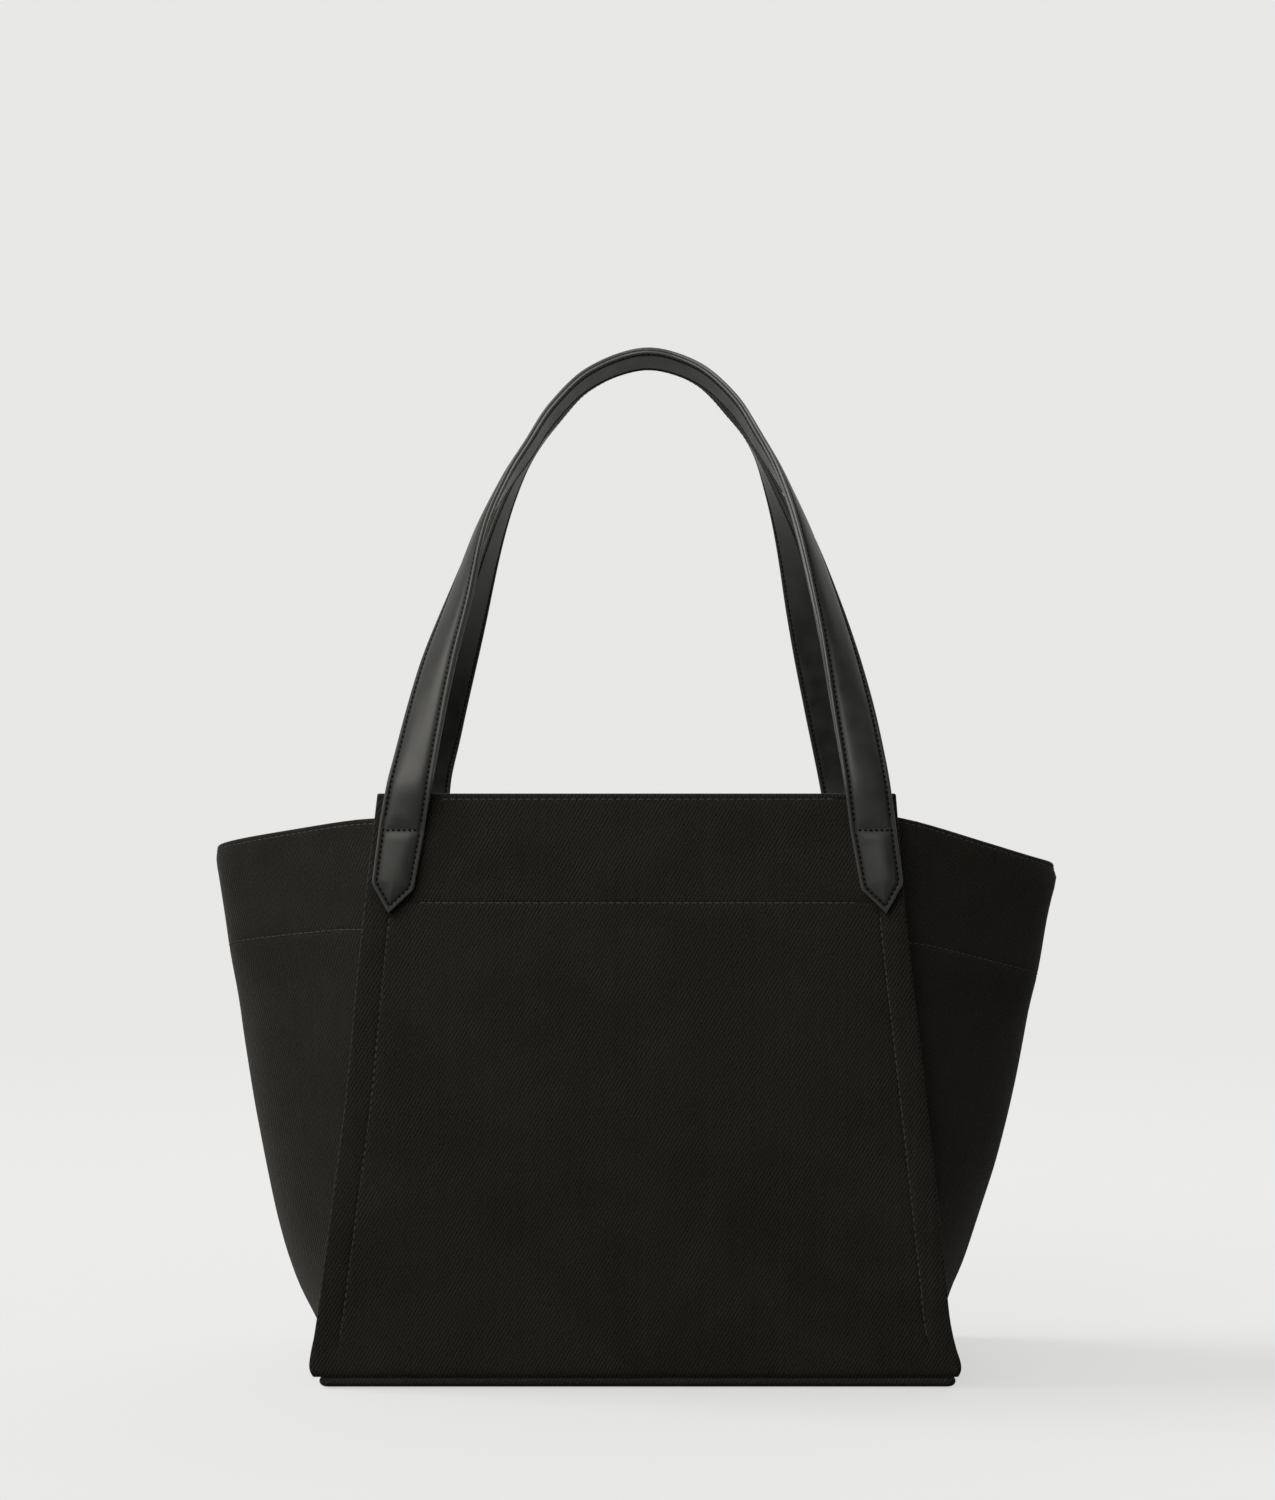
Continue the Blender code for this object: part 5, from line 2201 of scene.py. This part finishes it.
        def shader(kind: str, *inputs: object) -> Socket:
            """Output of one shader node."""
            return kit.add(kind, dict(enumerate(inputs))).outputs[0]

        glow = tuple(part - self.ground_share * self.ground_light for part in self.tone)
        lit = shader("ShaderNodeBsdfDiffuse", opaque((self.ground_share,) * 3))
        near = shader("ShaderNodeAddShader", lit, shader("ShaderNodeEmission", opaque(glow), 1.0))
        far = shader("ShaderNodeEmission", opaque(self.tone), 1.0)
        place = kit.add("ShaderNodeNewGeometry").outputs["Position"]
        reach = kit.add("ShaderNodeVectorMath", {0: place}, operation="LENGTH").outputs["Value"]
        fade = kit.span(reach, self.ground_near, self.ground_far, 0.0, 1.0)
        pale = shader("ShaderNodeMixShader", fade, near, far)
        plain = shader("ShaderNodeBsdfDiffuse", opaque((self.ground_bounce,) * 3))
        mixed = shader("ShaderNodeMixShader", self.rays(kit, self.ground_shine), plain, pale)
        kit.fill(material.node_tree.nodes["Material Output"], {0: mixed})
        return material

    def camera(self) -> None:
        """Places the level camera in front of the bag."""
        data = bpy.data.cameras.new("Camera")
        data.sensor_width = self.sensor
        data.lens = self.focal_pixels / self.pixel_height * self.sensor
        data.shift_y = (self.horizon_row - self.pixel_height / 2) / self.pixel_height
        made = bpy.data.objects.new("Camera", data)
        made.location = (0, -SHAPE.depth / 2 - self.camera_distance, self.camera_height)
        made.rotation_euler = (math.pi / 2, 0, 0)
        bpy.context.scene.collection.objects.link(made)
        bpy.context.scene.camera = made

    def build(self) -> None:
        """Sets up the whole studio."""
        bpy.context.scene.view_settings.view_transform = "Standard"
        self.sky()
        ground = self.floor()
        self.lamps(ground)
        self.camera()
        LOG.info("studio: ground, light, camera")


def main() -> None:
    """Builds the bag's pieces and its surroundings."""
    logging.basicConfig(level=logging.INFO, format="%(name)s: %(message)s")
    Studio().build()
    finishes = Finishes()
    BaseAssembly(finishes).build()
    for end in End:
        PanelAssembly(end, finishes).build()
        handle = HandleAssembly(end, finishes)
        handle.build()
        for side in Side:
            TabAssembly(handle, side, finishes).build()
    for side in Side:
        WingAssembly(side, finishes).build()


if __name__ == "__main__":
    main()
